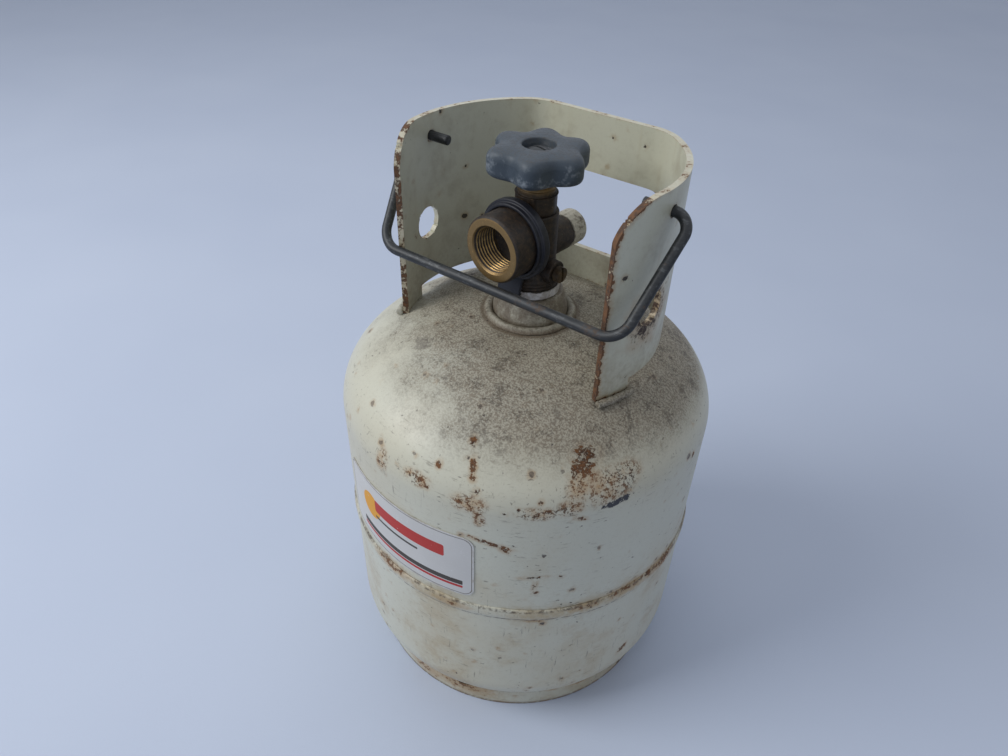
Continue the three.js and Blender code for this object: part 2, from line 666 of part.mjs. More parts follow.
const reliefProfile = [
  [0, 0],
  [RELIEF_RADIUS, 0],
  [RELIEF_RADIUS, RELIEF_LENGTH],
  [reliefNose, RELIEF_LENGTH],
  [reliefNose, reliefEnd],
  [0, reliefEnd],
];
const outletFloor = outletReach - OUTLET_DEPTH;
const outletBoreProfile = [
  [0, 0],
  [OUTLET_PASSAGE, 0],
  [OUTLET_PASSAGE, outletFloor - OUTLET_PASSAGE / 2],
  [OUTLET_BORE, outletFloor],
  [OUTLET_BORE, outletReach + OUTLET_LIP],
  [0, outletReach + OUTLET_LIP],
];
const bodyArms = [
  toFront(turned(outletProfile, VALVE_SIDES, false), outletZ),
  toBack(turned(reliefProfile, VALVE_SIDES, false), reliefZ),
  toRight(bar(BLEEDER_RADIUS, 0, BLEEDER_LENGTH, SMALL_SIDES), bleederZ),
];
const belowShank = shankBottomZ - FIT_GAP;
const dipSocket = DIP_TUBE_RADIUS + FIT_GAP;
const bodyCuts = [
  bar(INLET_RADIUS, belowShank, seatZ - INLET_RADIUS, SMALL_SIDES),
  bar(SEAT_HOLE_RADIUS, belowShank, bodyTopZ, SMALL_SIDES),
  bar(CHAMBER_RADIUS, seatZ, bodyTopZ + FIT_GAP, VALVE_SIDES),
  bar(bonnetPlugRadius + FIT_GAP, bonnetPlugZ - FIT_GAP, bodyTopZ + FIT_GAP, VALVE_SIDES),
  toFront(turned(outletBoreProfile, VALVE_SIDES, false), outletZ),
  toBack(bar(RELIEF_SEAT_HOLE, riserX, reliefEnd, SMALL_SIDES), reliefZ),
  toBack(bar(RELIEF_BORE, RELIEF_SEAT_BACK, reliefEnd + FIT_GAP, SMALL_SIDES), reliefZ),
  bar(RISER_RADIUS, belowShank, reliefZ, ROD_SIDES).translate(0, riserX, 0),
  toRight(bar(BLEEDER_BORE, riserX, BLEEDER_LENGTH + FIT_GAP, SMALL_SIDES), bleederZ),
  bar(DIP_TUBE_BORE, belowShank, bleederZ, ROD_SIDES).translate(riserX, 0, 0),
  bar(dipSocket, belowShank, shankBottomZ + DIP_TUBE_SOCKET, SMALL_SIDES).translate(riserX, 0, 0),
];
const spine = turned(spineProfile, VALVE_SIDES, false);
place(valve, "valve_body", shaped(spine, bodyArms, bodyCuts), dirtyBrass());

// Sealing tape wound round the shank just above the boss
const tapeInner = SHANK_RADIUS + FIT_GAP;
const tapeBottomZ = bossTopZ + FIT_GAP;
const tapeProfile = [
  [tapeInner, tapeBottomZ],
  [tapeInner + TAPE_WALL, tapeBottomZ],
  [tapeInner + TAPE_WALL, tapeBottomZ + TAPE_HEIGHT],
  [tapeInner, tapeBottomZ + TAPE_HEIGHT],
];
place(valve, "thread_tape", turned(tapeProfile, VALVE_SIDES), whiteTape());

// Bonnet: screwed cap that guides the stem
const roofZ = bodyTopZ + FIT_GAP;
const stemBore = STEM_RADIUS + RUN_GAP;
const bonnetProfile = [
  [CHAMBER_RADIUS, bonnetPlugZ],
  [bonnetPlugRadius, bonnetPlugZ],
  [bonnetPlugRadius, roofZ],
  [BONNET_RADIUS, roofZ],
  [BONNET_RADIUS, roofZ + BONNET_HEIGHT],
  [BONNET_NECK_RADIUS, roofZ + BONNET_HEIGHT],
  [BONNET_NECK_RADIUS, bonnetTopZ],
  [stemBore, bonnetTopZ],
  [stemBore, roofZ],
  [CHAMBER_RADIUS, roofZ],
];
place(valve, "bonnet", turned(bonnetProfile, VALVE_SIDES), dirtyBrass());

// Lower spindle, with a pocket for the seat disc below and a slot for the stem's tang above
const discBottomZ = seatZ + FIT_GAP;
const discTopZ = discBottomZ + SEAT_DISC_HEIGHT;
const pocketRadius = SEAT_DISC_RADIUS + FIT_GAP;
const pocketRoofZ = discTopZ + FIT_GAP;
const spindleRadius = CHAMBER_RADIUS - RUN_GAP;
const spindleBottomZ = pocketRoofZ - SEAT_POCKET;
const spindleTopZ = spindleBottomZ + SPINDLE_HEIGHT;
const tangBottomZ = spindleTopZ - TANG_GRIP;
const slotBottomZ = tangBottomZ - SPINDLE_LIFT - FIT_GAP;
const stemBottomZ = spindleTopZ + SPINDLE_LIFT + FIT_GAP;
const spindleProfile = [
  [0, pocketRoofZ],
  [pocketRadius, pocketRoofZ],
  [pocketRadius, spindleBottomZ],
  [spindleRadius, spindleBottomZ],
  [spindleRadius, spindleTopZ],
  [0, spindleTopZ],
];
function uprightBlock(width, depth, from, to) {
  return new THREE.BoxGeometry(width, depth, to - from).translate(0, 0, (from + to) / 2);
}
const slot = uprightBlock(
  TANG_WIDTH + 2 * FIT_GAP,
  TANG_THICKNESS + 2 * FIT_GAP,
  slotBottomZ,
  spindleTopZ + FIT_GAP,
);
const spindleBlank = turned(spindleProfile, SMALL_SIDES, false);
place(valve, "lower_spindle", shaped(spindleBlank, [], [slot]), dirtyBrass());
place(valve, "seat_disc", bar(SEAT_DISC_RADIUS, discBottomZ, discTopZ, SMALL_SIDES), rubber());

// Stem: shoulder under the bonnet, groove for the seal, tip for the handwheel and a tapped hole in the tip
const shoulderTopZ = roofZ - FIT_GAP;
const shoulderRadius = CHAMBER_RADIUS - RUN_GAP;
const sealZ = roofZ + BONNET_HEIGHT / 2;
const grooveHalf = SEAL_WIRE / 2 + FIT_GAP;
const grooveRadius = stemBore - SEAL_WIRE - FIT_GAP;
const hubBottomZ = bonnetTopZ + HUB_STAND;
const wheelBottomZ = bonnetTopZ + HANDWHEEL_STAND;
const wheelTopZ = wheelBottomZ + HANDWHEEL_HEIGHT;
const recessFloorZ = wheelTopZ - RECESS_DEPTH;
const tipZ = recessFloorZ - FIT_GAP;
const screwHole = SCREW_RADIUS + FIT_GAP;
const screwHoleZ = recessFloorZ - SCREW_LENGTH - FIT_GAP;
const stemProfile = [
  [0, stemBottomZ],
  [STEM_RADIUS, stemBottomZ],
  [STEM_RADIUS, shoulderTopZ - STEM_SHOULDER],
  [shoulderRadius, shoulderTopZ - STEM_SHOULDER],
  [shoulderRadius, shoulderTopZ],
  [STEM_RADIUS, shoulderTopZ],
  [STEM_RADIUS, sealZ - grooveHalf],
  [grooveRadius, sealZ - grooveHalf],
  [grooveRadius, sealZ + grooveHalf],
  [STEM_RADIUS, sealZ + grooveHalf],
  [STEM_RADIUS, hubBottomZ - FIT_GAP],
  [STEM_TIP_RADIUS, hubBottomZ - FIT_GAP],
  [STEM_TIP_RADIUS, tipZ],
  [screwHole, tipZ],
  [screwHole, screwHoleZ],
  [0, screwHoleZ],
];
const tang = uprightBlock(TANG_WIDTH, TANG_THICKNESS, tangBottomZ, stemBottomZ + FIT_GAP);
const stemBlank = turned(stemProfile, SMALL_SIDES, false);
place(valve, "valve_stem", shaped(stemBlank, [tang], []), dirtyBrass());

// O-ring in the stem's groove
const sealMiddle = (grooveRadius + stemBore) / 2;
const sealRadius = SEAL_WIRE / 2;
const sealProfile = arc(sealMiddle, sealZ, sealRadius, sealRadius, 0, 360 * DEG, SEAL_STEPS).slice(0, -1);
place(valve, "stem_seal", turned(sealProfile, SMALL_SIDES), rubber());

// Handwheel: hollow below, with lobes pressed into its rim and a recess for its screw
const hubBore = STEM_TIP_RADIUS + FIT_GAP;
const rimInner = HANDWHEEL_RADIUS - HANDWHEEL_RIM_WALL;
const webZ = recessFloorZ - HANDWHEEL_WEB;
const edgeMiddle = HANDWHEEL_RADIUS - HANDWHEEL_EDGE;
function wheelEdge(middleZ, from, to) {
  return arc(edgeMiddle, middleZ, HANDWHEEL_EDGE, HANDWHEEL_EDGE, from, to, EDGE_STEPS);
}
const wheelProfile = [
  [hubBore, hubBottomZ],
  [HUB_RADIUS, hubBottomZ],
  [HUB_RADIUS, webZ],
  [rimInner, webZ],
  [rimInner, wheelBottomZ],
  ...wheelEdge(wheelBottomZ + HANDWHEEL_EDGE, -90 * DEG, 0),
  ...wheelEdge(wheelTopZ - HANDWHEEL_EDGE, 0, 90 * DEG),
  [RECESS_RADIUS, wheelTopZ],
  [RECESS_RADIUS, recessFloorZ],
  [hubBore, recessFloorZ],
];
function lobed(geometry) {
  const points = geometry.attributes.position;
  const point = new THREE.Vector3();
  for (let k = 0; k < points.count; k++) {
    point.fromBufferAttribute(points, k);
    const radius = Math.hypot(point.x, point.y);
    const share = Math.max(0, (radius - rimInner) / HANDWHEEL_RIM_WALL);
    const wave = (1 - Math.cos(LOBE_COUNT * Math.atan2(point.y, point.x))) / 2;
    const scale = 1 - (LOBE_DEPTH * share * wave) / Math.max(radius, rimInner);
    points.setXYZ(k, point.x * scale, point.y * scale, point.z);
  }
  return geometry;
}
const wheelSides = LOBE_COUNT * LOBE_SIDES;
place(valve, "handwheel", lobed(turned(wheelProfile, wheelSides)), wheelPaint());

// Slotted screw that holds the handwheel on the stem
const headBottomZ = recessFloorZ + FIT_GAP;
const headTopZ = headBottomZ + SCREW_HEAD_HEIGHT;
const screwProfile = [
  [0, recessFloorZ - SCREW_LENGTH],
  [SCREW_RADIUS, recessFloorZ - SCREW_LENGTH],
  [SCREW_RADIUS, headBottomZ],
  [SCREW_HEAD_RADIUS, headBottomZ],
  [SCREW_HEAD_RADIUS, headTopZ - SCREW_HEAD_HEIGHT / 3],
  [0, headTopZ],
];
const screwSlot = uprightBlock(
  3 * SCREW_HEAD_RADIUS,
  SCREW_SLOT,
  headTopZ - SCREW_HEAD_HEIGHT / 2,
  headTopZ + SCREW_HEAD_HEIGHT,
);
const screwBlank = turned(screwProfile, SMALL_SIDES, false);
place(valve, "handwheel_screw", shaped(screwBlank, [], [screwSlot]), bareSteel());

// Relief valve in the back arm: seal and poppet on the seat, spring, and a screwed retainer
const reliefSealBack = RELIEF_SEAT_BACK + FIT_GAP;
const reliefSealFront = reliefSealBack + RELIEF_SEAL_HEIGHT;
const poppetBack = reliefSealFront + FIT_GAP;
const poppetFront = poppetBack + POPPET_DISC;
const poppetRadius = RELIEF_BORE - RUN_GAP;
const retainerBack = reliefEnd - RETAINER_HEIGHT;
const retainerHole = POPPET_STEM_RADIUS + RUN_GAP;
const retainerRadius = RELIEF_BORE - FIT_GAP;
const poppetProfile = [
  [0, poppetBack],
  [poppetRadius, poppetBack],
  [poppetRadius, poppetFront],
  [POPPET_STEM_RADIUS, poppetFront],
  [POPPET_STEM_RADIUS, retainerBack + RETAINER_HEIGHT / 2],
  [0, retainerBack + RETAINER_HEIGHT / 2],
];
const retainerProfile = [
  [retainerHole, retainerBack],
  [retainerRadius, retainerBack],
  [retainerRadius, reliefEnd],
  [retainerHole, reliefEnd],
];
const reliefSeal = bar(RELIEF_SEAL_RADIUS, reliefSealBack, reliefSealFront, SMALL_SIDES);
const springMiddle = (retainerRadius + retainerHole) / 2;
const springInset = SPRING_WIRE / 2 + FIT_GAP;
const springFrom = poppetFront + springInset;
const springTo = retainerBack - springInset;
const springCurve = new Coil(springMiddle, springFrom, springTo, SPRING_TURNS);
const springSteps = Math.round(SPRING_TURNS * TURN_STEPS);
const poppet = turned(poppetProfile, SMALL_SIDES, false);
place(valve, "relief_seal", toBack(reliefSeal, reliefZ), rubber());
place(valve, "relief_poppet", toBack(poppet, reliefZ), dirtyBrass());
place(valve, "relief_retainer", toBack(turned(retainerProfile, SMALL_SIDES), reliefZ), dirtyBrass());
const spring = rodAlong(springCurve, SPRING_WIRE / 2, WIRE_SIDES, springSteps);
place(valve, "relief_spring", toBack(spring, reliefZ), bareSteel());

// Dust cap pushed over the nose of the relief arm
const capOpen = RELIEF_LENGTH + FIT_GAP;
const capEnd = capOpen + CAP_LENGTH;
const capInner = reliefNose + FIT_GAP;
const capOuter = capInner + CAP_WALL;
const capProfile = [
  [0, capEnd - CAP_WALL],
  [capInner, capEnd - CAP_WALL],
  [capInner, capOpen],
  [capOuter, capOpen],
  [capOuter, capEnd - CAP_WALL],
  [capOuter - CAP_WALL, capEnd],
  [0, capEnd],
];
place(valve, "relief_cap", toBack(turned(capProfile, VALVE_SIDES, false), reliefZ), paleCap());

// Bleeder screw on the right, above the passage from the dip tube
const bleederHead = BLEEDER_LENGTH + FIT_GAP;
const bleederShank = BLEEDER_BORE - FIT_GAP;
const bleederProfile = [
  [0, BLEEDER_TIP],
  [bleederShank, BLEEDER_TIP + bleederShank / 2],
  [bleederShank, bleederHead],
  [BLEEDER_HEAD_RADIUS, bleederHead],
  [BLEEDER_HEAD_RADIUS, bleederHead + BLEEDER_HEAD_HEIGHT],
  [0, bleederHead + BLEEDER_HEAD_HEIGHT],
];
const bleederSlot = uprightBlock(
  SCREW_SLOT,
  3 * BLEEDER_HEAD_RADIUS,
  bleederHead + BLEEDER_HEAD_HEIGHT / 2,
  bleederHead + 2 * BLEEDER_HEAD_HEIGHT,
);
const bleeder = shaped(turned(bleederProfile, SMALL_SIDES, false), [], [bleederSlot]);
place(valve, "bleeder_screw", toRight(bleeder, bleederZ), dirtyBrass());

// Dip tube: thin tube in the shank's underside that sets the fill level
const dipTopZ = shankBottomZ + DIP_TUBE_SOCKET - FIT_GAP;
const dipBottomZ = shankBottomZ - DIP_TUBE_LENGTH;
const dipProfile = [
  [DIP_TUBE_BORE, dipBottomZ],
  [DIP_TUBE_RADIUS, dipBottomZ],
  [DIP_TUBE_RADIUS, dipTopZ],
  [DIP_TUBE_BORE, dipTopZ],
];
const dipTube = turned(dipProfile, ROD_SIDES).translate(riserX, 0, 0);
place(valve, "dip_tube", dipTube, dirtyBrass());

// Strap of the lost outlet plug: a stepped ring round the outlet, with a tail in front of the shank
const strapInner = OUTLET_RADIUS + FIT_GAP;
const strapBack = Math.max(BODY_RADIUS, outletStart + OUTLET_LIP) + RUN_GAP;
const strapMiddle = strapBack + STRAP_RING_WIDTH;
const strapFront = strapMiddle + STRAP_STEP;
const strapProfile = [
  [strapInner, strapBack],
  [strapInner + STRAP_WALL, strapBack],
  [strapInner + STRAP_WALL, strapMiddle],
  [strapInner + STRAP_STEP_WALL, strapMiddle],
  [strapInner + STRAP_STEP_WALL, strapFront],
  [strapInner, strapFront],
];
function strapTail() {
  const topZ = outletZ - strapInner - STRAP_WALL / 2;
  const bendZ = topZ - STRAP_WALL;
  const endZ = bossTopZ + STRAP_TAIL_END;
  const tail = new THREE.Shape();
  tail.moveTo(strapMiddle - STRAP_TAIL_WALL, topZ);
  tail.lineTo(strapMiddle, topZ);
  tail.quadraticCurveTo(strapMiddle + STRAP_TAIL_WALL, bendZ, strapFront, endZ);
  tail.lineTo(strapFront - STRAP_TAIL_WALL, endZ);
  tail.quadraticCurveTo(strapMiddle, bendZ, strapMiddle - STRAP_TAIL_WALL, topZ);
  const strip = extruded(tail, STRAP_TAIL_WIDTH, CORNER_STEPS).translate(0, 0, -STRAP_TAIL_WIDTH / 2);
  return strip.rotateX(90 * DEG).rotateZ(-90 * DEG);
}
const strapRing = toFront(turned(strapProfile, VALVE_SIDES), outletZ);
place(valve, "plug_strap", shaped(strapRing, [strapTail()], []), strapPlastic());

// Printed label bent round the wall above the girth weld, with round corners
function labelSheet() {
  const inner = TANK_RADIUS + FIT_GAP;
  const outer = inner + LABEL_WALL;
  const half = LABEL_WIDTH / 2 / TANK_RADIUS;
  const sector = new THREE.Shape();
  sector.absarc(0, 0, outer, -half, half);
  sector.absarc(0, 0, inner, half, -half, true);
  const band = extruded(sector, LABEL_HEIGHT, LABEL_STEPS);
  const flatWidth = 2 * outer * Math.sin(half);
  const outline = roundedRectangle(flatWidth, LABEL_HEIGHT, LABEL_CORNER);
  const block = extruded(outline, outer, CORNER_STEPS);
  block.rotateZ(90 * DEG).rotateY(90 * DEG).translate(LABEL_WALL, 0, LABEL_HEIGHT / 2);
  return geometryOf(solidOf(band).intersect(solidOf(block)));
}
const label = place(cylinder, "label", labelSheet(), paper());
label.rotation.z = LABEL_HEADING * DEG;
label.position.z = seamZ + LABEL_RISE;

export default cylinder;
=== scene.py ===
import math
import bmesh
import bpy
import numpy as np
from mathutils import Matrix, Vector


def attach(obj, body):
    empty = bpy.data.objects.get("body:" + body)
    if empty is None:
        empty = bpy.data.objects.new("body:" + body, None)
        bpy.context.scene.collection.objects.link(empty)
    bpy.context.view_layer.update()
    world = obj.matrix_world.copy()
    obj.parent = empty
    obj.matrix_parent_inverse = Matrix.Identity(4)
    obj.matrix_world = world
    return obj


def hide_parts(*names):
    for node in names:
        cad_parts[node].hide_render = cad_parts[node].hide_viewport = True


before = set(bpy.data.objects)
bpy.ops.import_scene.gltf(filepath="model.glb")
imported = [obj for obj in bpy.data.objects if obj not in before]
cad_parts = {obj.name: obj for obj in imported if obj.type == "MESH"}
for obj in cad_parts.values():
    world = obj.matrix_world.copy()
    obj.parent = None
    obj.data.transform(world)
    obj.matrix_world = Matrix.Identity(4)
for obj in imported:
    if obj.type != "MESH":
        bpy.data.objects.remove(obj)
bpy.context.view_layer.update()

# Studio: a wide pale floor, a soft window light from the left and weak fills, and the camera that looks
# down on the front right side of the cylinder. The sky is white to the eye and a plain grey as a light.
eye = Vector((0.1815, -0.2764, 0.4438))
ahead = Vector((-0.4559, 0.6405, -0.6180)).normalized()
level = ahead.cross(Vector((0, 0, 1))).normalized()
above = level.cross(ahead)
roll = math.radians(1.94)
right = level * math.cos(roll) + above * math.sin(roll)
upward = right.cross(ahead)
lens = bpy.data.cameras.new("camera")
lens.sensor_width = 36.0
lens.lens = 26.54
lens.clip_start = 0.01
camera = bpy.data.objects.new("camera", lens)
bpy.context.scene.collection.objects.link(camera)
camera.matrix_world = Matrix.Translation(eye) @ Matrix((right, upward, -ahead)).transposed().to_4x4()
bpy.context.scene.camera = camera
bpy.context.scene.view_settings.view_transform = "Standard"


class Tone:
    """A value, colour or vector of a finish; arithmetic on it adds Math nodes to that finish."""

    def __init__(self, tree, socket):
        self.tree = tree
        self.socket = socket

    def node(self, kind, settings, inputs, output=0):
        """Adds a node with its settings, then the values or links of its sockets, and gives one output."""
        made = self.tree.nodes.new(kind)
        for key, value in settings.items():
            setattr(made, key, value)
        for key, value in inputs.items():
            if isinstance(value, Tone):
                self.tree.links.new(value.socket, made.inputs[key])
            else:
                made.inputs[key].default_value = value
        return Tone(self.tree, made.outputs[output])

    def math(self, operation, first, second):
        return self.node("ShaderNodeMath", {"operation": operation}, {0: first, 1: second})

    def __add__(self, other):
        return self.math("ADD", self, other)

    __radd__ = __add__

    def __sub__(self, other):
        return self.math("SUBTRACT", self, other)

    def __rsub__(self, other):
        return self.math("SUBTRACT", other, self)

    def __mul__(self, other):
        return self.math("MULTIPLY", self, other)

    __rmul__ = __mul__

    def most(self, other):
        return self.math("MAXIMUM", self, other)

    def size(self):
        return self.math("ABSOLUTE", self, 0.0)

    def between(self, low, high):
        """A smooth step from 0 at low to 1 at high."""
        return self.node("ShaderNodeMapRange", {"interpolation_type": "SMOOTHSTEP"},
                         {"Value": self, "From Min": low, "From Max": high})

    def part(self, axis):
        return self.node("ShaderNodeSeparateXYZ", {}, {0: self}, axis)

    def scaled(self, factors):
        """A vector with each part multiplied by its own factor."""
        return self.node("ShaderNodeVectorMath", {"operation": "MULTIPLY"}, {0: self, 1: factors})

    def noise(self, grain, detail=3.0, rough=0.55):
        """Cloudy noise from 0 to 1 whose lumps are about one grain across."""
        return self.node("ShaderNodeTexNoise", {}, {"Vector": self, "Scale": 1.0 / grain,
                                                    "Detail": detail, "Roughness": rough}, "Fac")

    def warped(self, grain, reach):
        """Points shifted by a cloudy vector of about this reach, so that round shapes come out ragged."""
        shift = self.node("ShaderNodeTexNoise", {},
                          {"Vector": self, "Scale": 1.0 / grain, "Detail": 3.0}, "Color")
        return self.node("ShaderNodeVectorMath", {"operation": "MULTIPLY_ADD"},
                         {0: shift, 1: (reach,) * 3, 2: self})

    def dots(self, grain, rarity, reach):
        """A scatter of dots, above 0 inside them and below 0 round them, at most one in each cell of a grain.

        Rarity makes them fewer and reach makes them wider.
        """
        far = self.node("ShaderNodeTexVoronoi", {}, {"Vector": self, "Scale": 1.0 / grain}, "Distance")
        chance = Tone(self.tree, far.socket.node.outputs["Color"])
        return (chance * 1.0 - rarity) * reach - far

    def kept(self, name):
        """A number that the mesh keeps for each of its points."""
        return self.node("ShaderNodeAttribute", {"attribute_name": name}, {}, "Fac")

    def coat(self, mask, colour):
        """This colour with another laid over it where the mask is 1."""
        over = colour if isinstance(colour, Tone) else (*colour, 1)
        return self.node("ShaderNodeMix", {"data_type": "RGBA"}, {0: mask, 6: self, 7: over}, 2)

    def blend(self, first, second):
        """The first colour where this value is 0 and the second where it is 1."""
        ends = {0: self, 6: (*first, 1), 7: (*second, 1)}
        return self.node("ShaderNodeMix", {"data_type": "RGBA"}, ends, 2)

    def from_axis(self):
        """Distance of a point from the Z axis."""
        flat = self.scaled((1.0, 1.0, 0.0))
        return self.node("ShaderNodeVectorMath", {"operation": "LENGTH"}, {0: flat}, "Value")


def new_finish(name):
    """A new material: the material, its points in millimetres, and its surface shader."""
    material = bpy.data.materials.new(name)
    material.use_nodes = True
    tree = material.node_tree
    place = Tone(tree, tree.nodes.new("ShaderNodeTexCoord").outputs["Object"])
    return material, place.scaled((1000.0, 1000.0, 1000.0)), tree.nodes["Principled BSDF"]


def lay_finish(shader, colour, roughness, relief, metallic=0.0):
    """Feeds a shader its colour, roughness, metal share and a relief in millimetres."""
    tree = colour.tree
    bump = colour.node("ShaderNodeBump", {}, {"Distance": 0.001, "Strength": 1.0, "Height": relief}, "Normal")
    tree.links.new(colour.socket, shader.inputs["Base Color"])
    tree.links.new(roughness.socket, shader.inputs["Roughness"])
    tree.links.new(bump.socket, shader.inputs["Normal"])
    if isinstance(metallic, Tone):
        tree.links.new(metallic.socket, shader.inputs["Metallic"])
    else:
        shader.inputs["Metallic"].default_value = metallic


floor_finish, floor_mm, floor_shader = new_finish("floor_cloth")
floor_cloud = floor_mm.noise(260.0, 2.0)
floor_tone = floor_cloud.blend((0.47, 0.54, 0.69), (0.54, 0.61, 0.75))
lay_finish(floor_shader, floor_tone, floor_cloud * 0.1 + 0.8, floor_mm.noise(1.2, 1.0) * 0.05)
floor_mesh = bpy.data.meshes.new("floor")
floor_mesh.from_pydata([(-6, -6, 0), (6, -6, 0), (6, 6, 0), (-6, 6, 0)], [], [(0, 1, 2, 3)])
floor_mesh.materials.append(floor_finish)
floor = bpy.data.objects.new("floor", floor_mesh)
bpy.context.scene.collection.objects.link(floor)

world = bpy.data.worlds.new("studio_sky")
bpy.context.scene.world = world
world.use_nodes = True
sky = world.node_tree
rays = sky.nodes.new("ShaderNodeLightPath")
seen = Tone(sky, rays.outputs["Is Camera Ray"])
seen = seen.most(Tone(sky, rays.outputs["Is Glossy Ray"]))
seen = seen.most(Tone(sky, rays.outputs["Is Transmission Ray"]))
sky_tone = seen.blend((0.355, 0.365, 0.39), (0.80, 0.84, 0.92))
sky.links.new(sky_tone.socket, sky.nodes["Background"].inputs["Color"])


def soft_light(name, place, aim, width, watts, colour):
    """A square lamp at a place, turned to face an aim point."""
    lamp = bpy.data.lights.new(name, "AREA")
    lamp.size = width
    lamp.energy = watts
    lamp.color = colour
    lamp_object = bpy.data.objects.new(name, lamp)
    bpy.context.scene.collection.objects.link(lamp_object)
    turn = (Vector(aim) - Vector(place)).to_track_quat("-Z", "Y")
    lamp_object.matrix_world = Matrix.Translation(place) @ turn.to_matrix().to_4x4()


soft_light("window", (-0.95, -1.00, 1.25), (0, 0, 0.18), 0.9, 18.5, (1.0, 0.99, 0.97))
soft_light("ceiling", (-0.25, 0.35, 1.7), (0, 0, 0.2), 1.2, 5.0, (0.97, 0.98, 1.0))


# Lower half of the vessel: a drawn steel cup with a nearly flat belly and a round corner, painted cream.
# Its rim is set in to slip inside the upper half, where the girth weld joins the two.
TANK_RADIUS = 101.6
WALL = 1.8
DOME_RISE = 50.8
BELLY_RADIUS = 800.0
CORNER_RADIUS = 28.0
lower_tangent = 37.416
upper_tangent = 181.416
seam = 107.016


def eased(corners, ease, closed=True, steps=5):
    """A profile with each corner replaced by a short parabola that begins and ends one ease away from it."""
    points = np.asarray(corners, float)

    def toward(others):
        way = others - points
        return points + way * np.minimum(ease / np.linalg.norm(way, axis=1, keepdims=True), 0.45)

    start = toward(np.roll(points, 1, 0))[:, None]
    end = toward(np.roll(points, -1, 0))[:, None]
    t = np.linspace(0, 1, steps)[None, :, None]
    curve = (1 - t) ** 2 * start + 2 * t * (1 - t) * points[:, None] + t**2 * end
    if closed:
        return curve.reshape(-1, 2)
    return np.concatenate([points[:1], curve[1:-1].reshape(-1, 2), points[-1:]])


def turned(profile, sides):
    """A profile of radius r and height z carried round the Z axis: x = r cos a, y = r sin a."""
    radius, height = np.asarray(profile, float).T
    angle = np.linspace(0, 2 * np.pi, sides, endpoint=False)
    across = np.outer(np.cos(angle), radius)
    along = np.outer(np.sin(angle), radius)
    return np.stack([across, along, np.broadcast_to(height, across.shape)], -1)


def grid_faces(rows, columns, wrap_rows, wrap_columns):
    """Four-cornered faces between neighbouring points of a grid, joined across its ends where it wraps."""
    index = np.arange(rows * columns).reshape(rows, columns)
    if wrap_rows:
        index = np.vstack([index, index[:1]])
    if wrap_columns:
        index = np.hstack([index, index[:, :1]])
    corners = [index[:-1, :-1], index[:-1, 1:], index[1:, 1:], index[1:, :-1]]
    return np.stack(corners, -1).reshape(-1, 4)


def piece(name, grids, finish, body, nodes, sharp=38.0, values=None):
    """A closed mesh of some grids in millimetres, each with its two wraps, that stands for CAD nodes.

    Values are one number for each point, kept on the mesh for the finish under their names.
    """
    points, faces, count = [], [], 0
    for grid, wrap_rows, wrap_columns in grids:
        points.append(grid.reshape(-1, 3))
        faces.append(grid_faces(grid.shape[0], grid.shape[1], wrap_rows, wrap_columns) + count)
        count += len(points[-1])
    return shell(name, np.concatenate(points), np.concatenate(faces), finish, body, nodes, sharp,
                 values)


def shell(name, points, faces, finish, body, nodes, sharp, values):
    """A mesh of points in millimetres and four-cornered faces, merged, facing outwards and shaded smooth."""
    mesh = bpy.data.meshes.new(name)
    mesh.from_pydata(points * 0.001, [], faces)
    for key, numbers in (values or {}).items():
        layer = mesh.attributes.new(key, "FLOAT", "POINT")
        layer.data.foreach_set("value", np.asarray(numbers, np.float32).ravel())
    work = bmesh.new()
    work.from_mesh(mesh)
    bmesh.ops.remove_doubles(work, verts=work.verts, dist=2e-6)
    bmesh.ops.dissolve_degenerate(work, edges=work.edges, dist=1e-7)
    bmesh.ops.recalc_face_normals(work, faces=work.faces)
    work.to_mesh(mesh)
    work.free()
    mesh.shade_smooth()
    mesh.set_sharp_from_angle(angle=math.radians(sharp))
    mesh.materials.append(finish)
    made = bpy.data.objects.new(name, mesh)
    bpy.context.scene.collection.objects.link(made)
    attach(made, body)
    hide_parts(*nodes)
    return made


def arc(middle, height, radius, rise, start, end, steps):
    """Points of an ellipse's arc in the profile plane, from one angle to another in degrees."""
    angle = np.radians(np.linspace(start, end, steps))
    return np.stack([middle + radius * np.cos(angle), height + rise * np.sin(angle)], -1)


def closeness(points, marks):
    """How near each point lies to the nearest mark: 2 in its middle, 1 on its edge, 0 far away.

    A mark is heading, height, tilt, half length, half width and distance from the axis. The distance to
    it is counted in its own half sizes along its tilted length, its width and its depth.
    """
    depth = 8.0
    heading, height, tilt, length, width, radius = np.array(marks, float).T
    heading, tilt = np.radians(heading), np.radians(tilt)
    zero = np.zeros_like(heading)
    out = np.stack([np.cos(heading), np.sin(heading), zero], -1)
    around = np.stack([-np.sin(heading), np.cos(heading), zero], -1)
    up = np.stack([zero, zero, zero + 1], -1)
    middle = out * radius[:, None] + up * height[:, None]
    c, s = np.cos(tilt)[:, None], np.sin(tilt)[:, None]
    lengthwise = (around * c + up * s) / length[:, None]
    crosswise = (up * c - around * s) / width[:, None]
    axes = np.stack([out / depth, lengthwise, crosswise], 1)
    way = np.asarray(points, float).reshape(-1, 1, 3) - middle
    far = np.linalg.norm(np.einsum("pmk,mak->pma", way, axes), axis=-1)
    return np.clip(2.0 - far.min(1), 0.0, 2.0)


tank_paint, mm, shader = new_finish("weathered_cream_paint")
height = mm.part("Z")
from_axis = mm.from_axis()
fine = mm.noise(0.9, 2.0)
ragged = mm.noise(2.6, 4.0, 0.65)
lumpy = mm.noise(9.0, 4.0, 0.6)
cloud = mm.noise(34.0, 4.0, 0.6)
wide = mm.noise(90.0, 2.0)

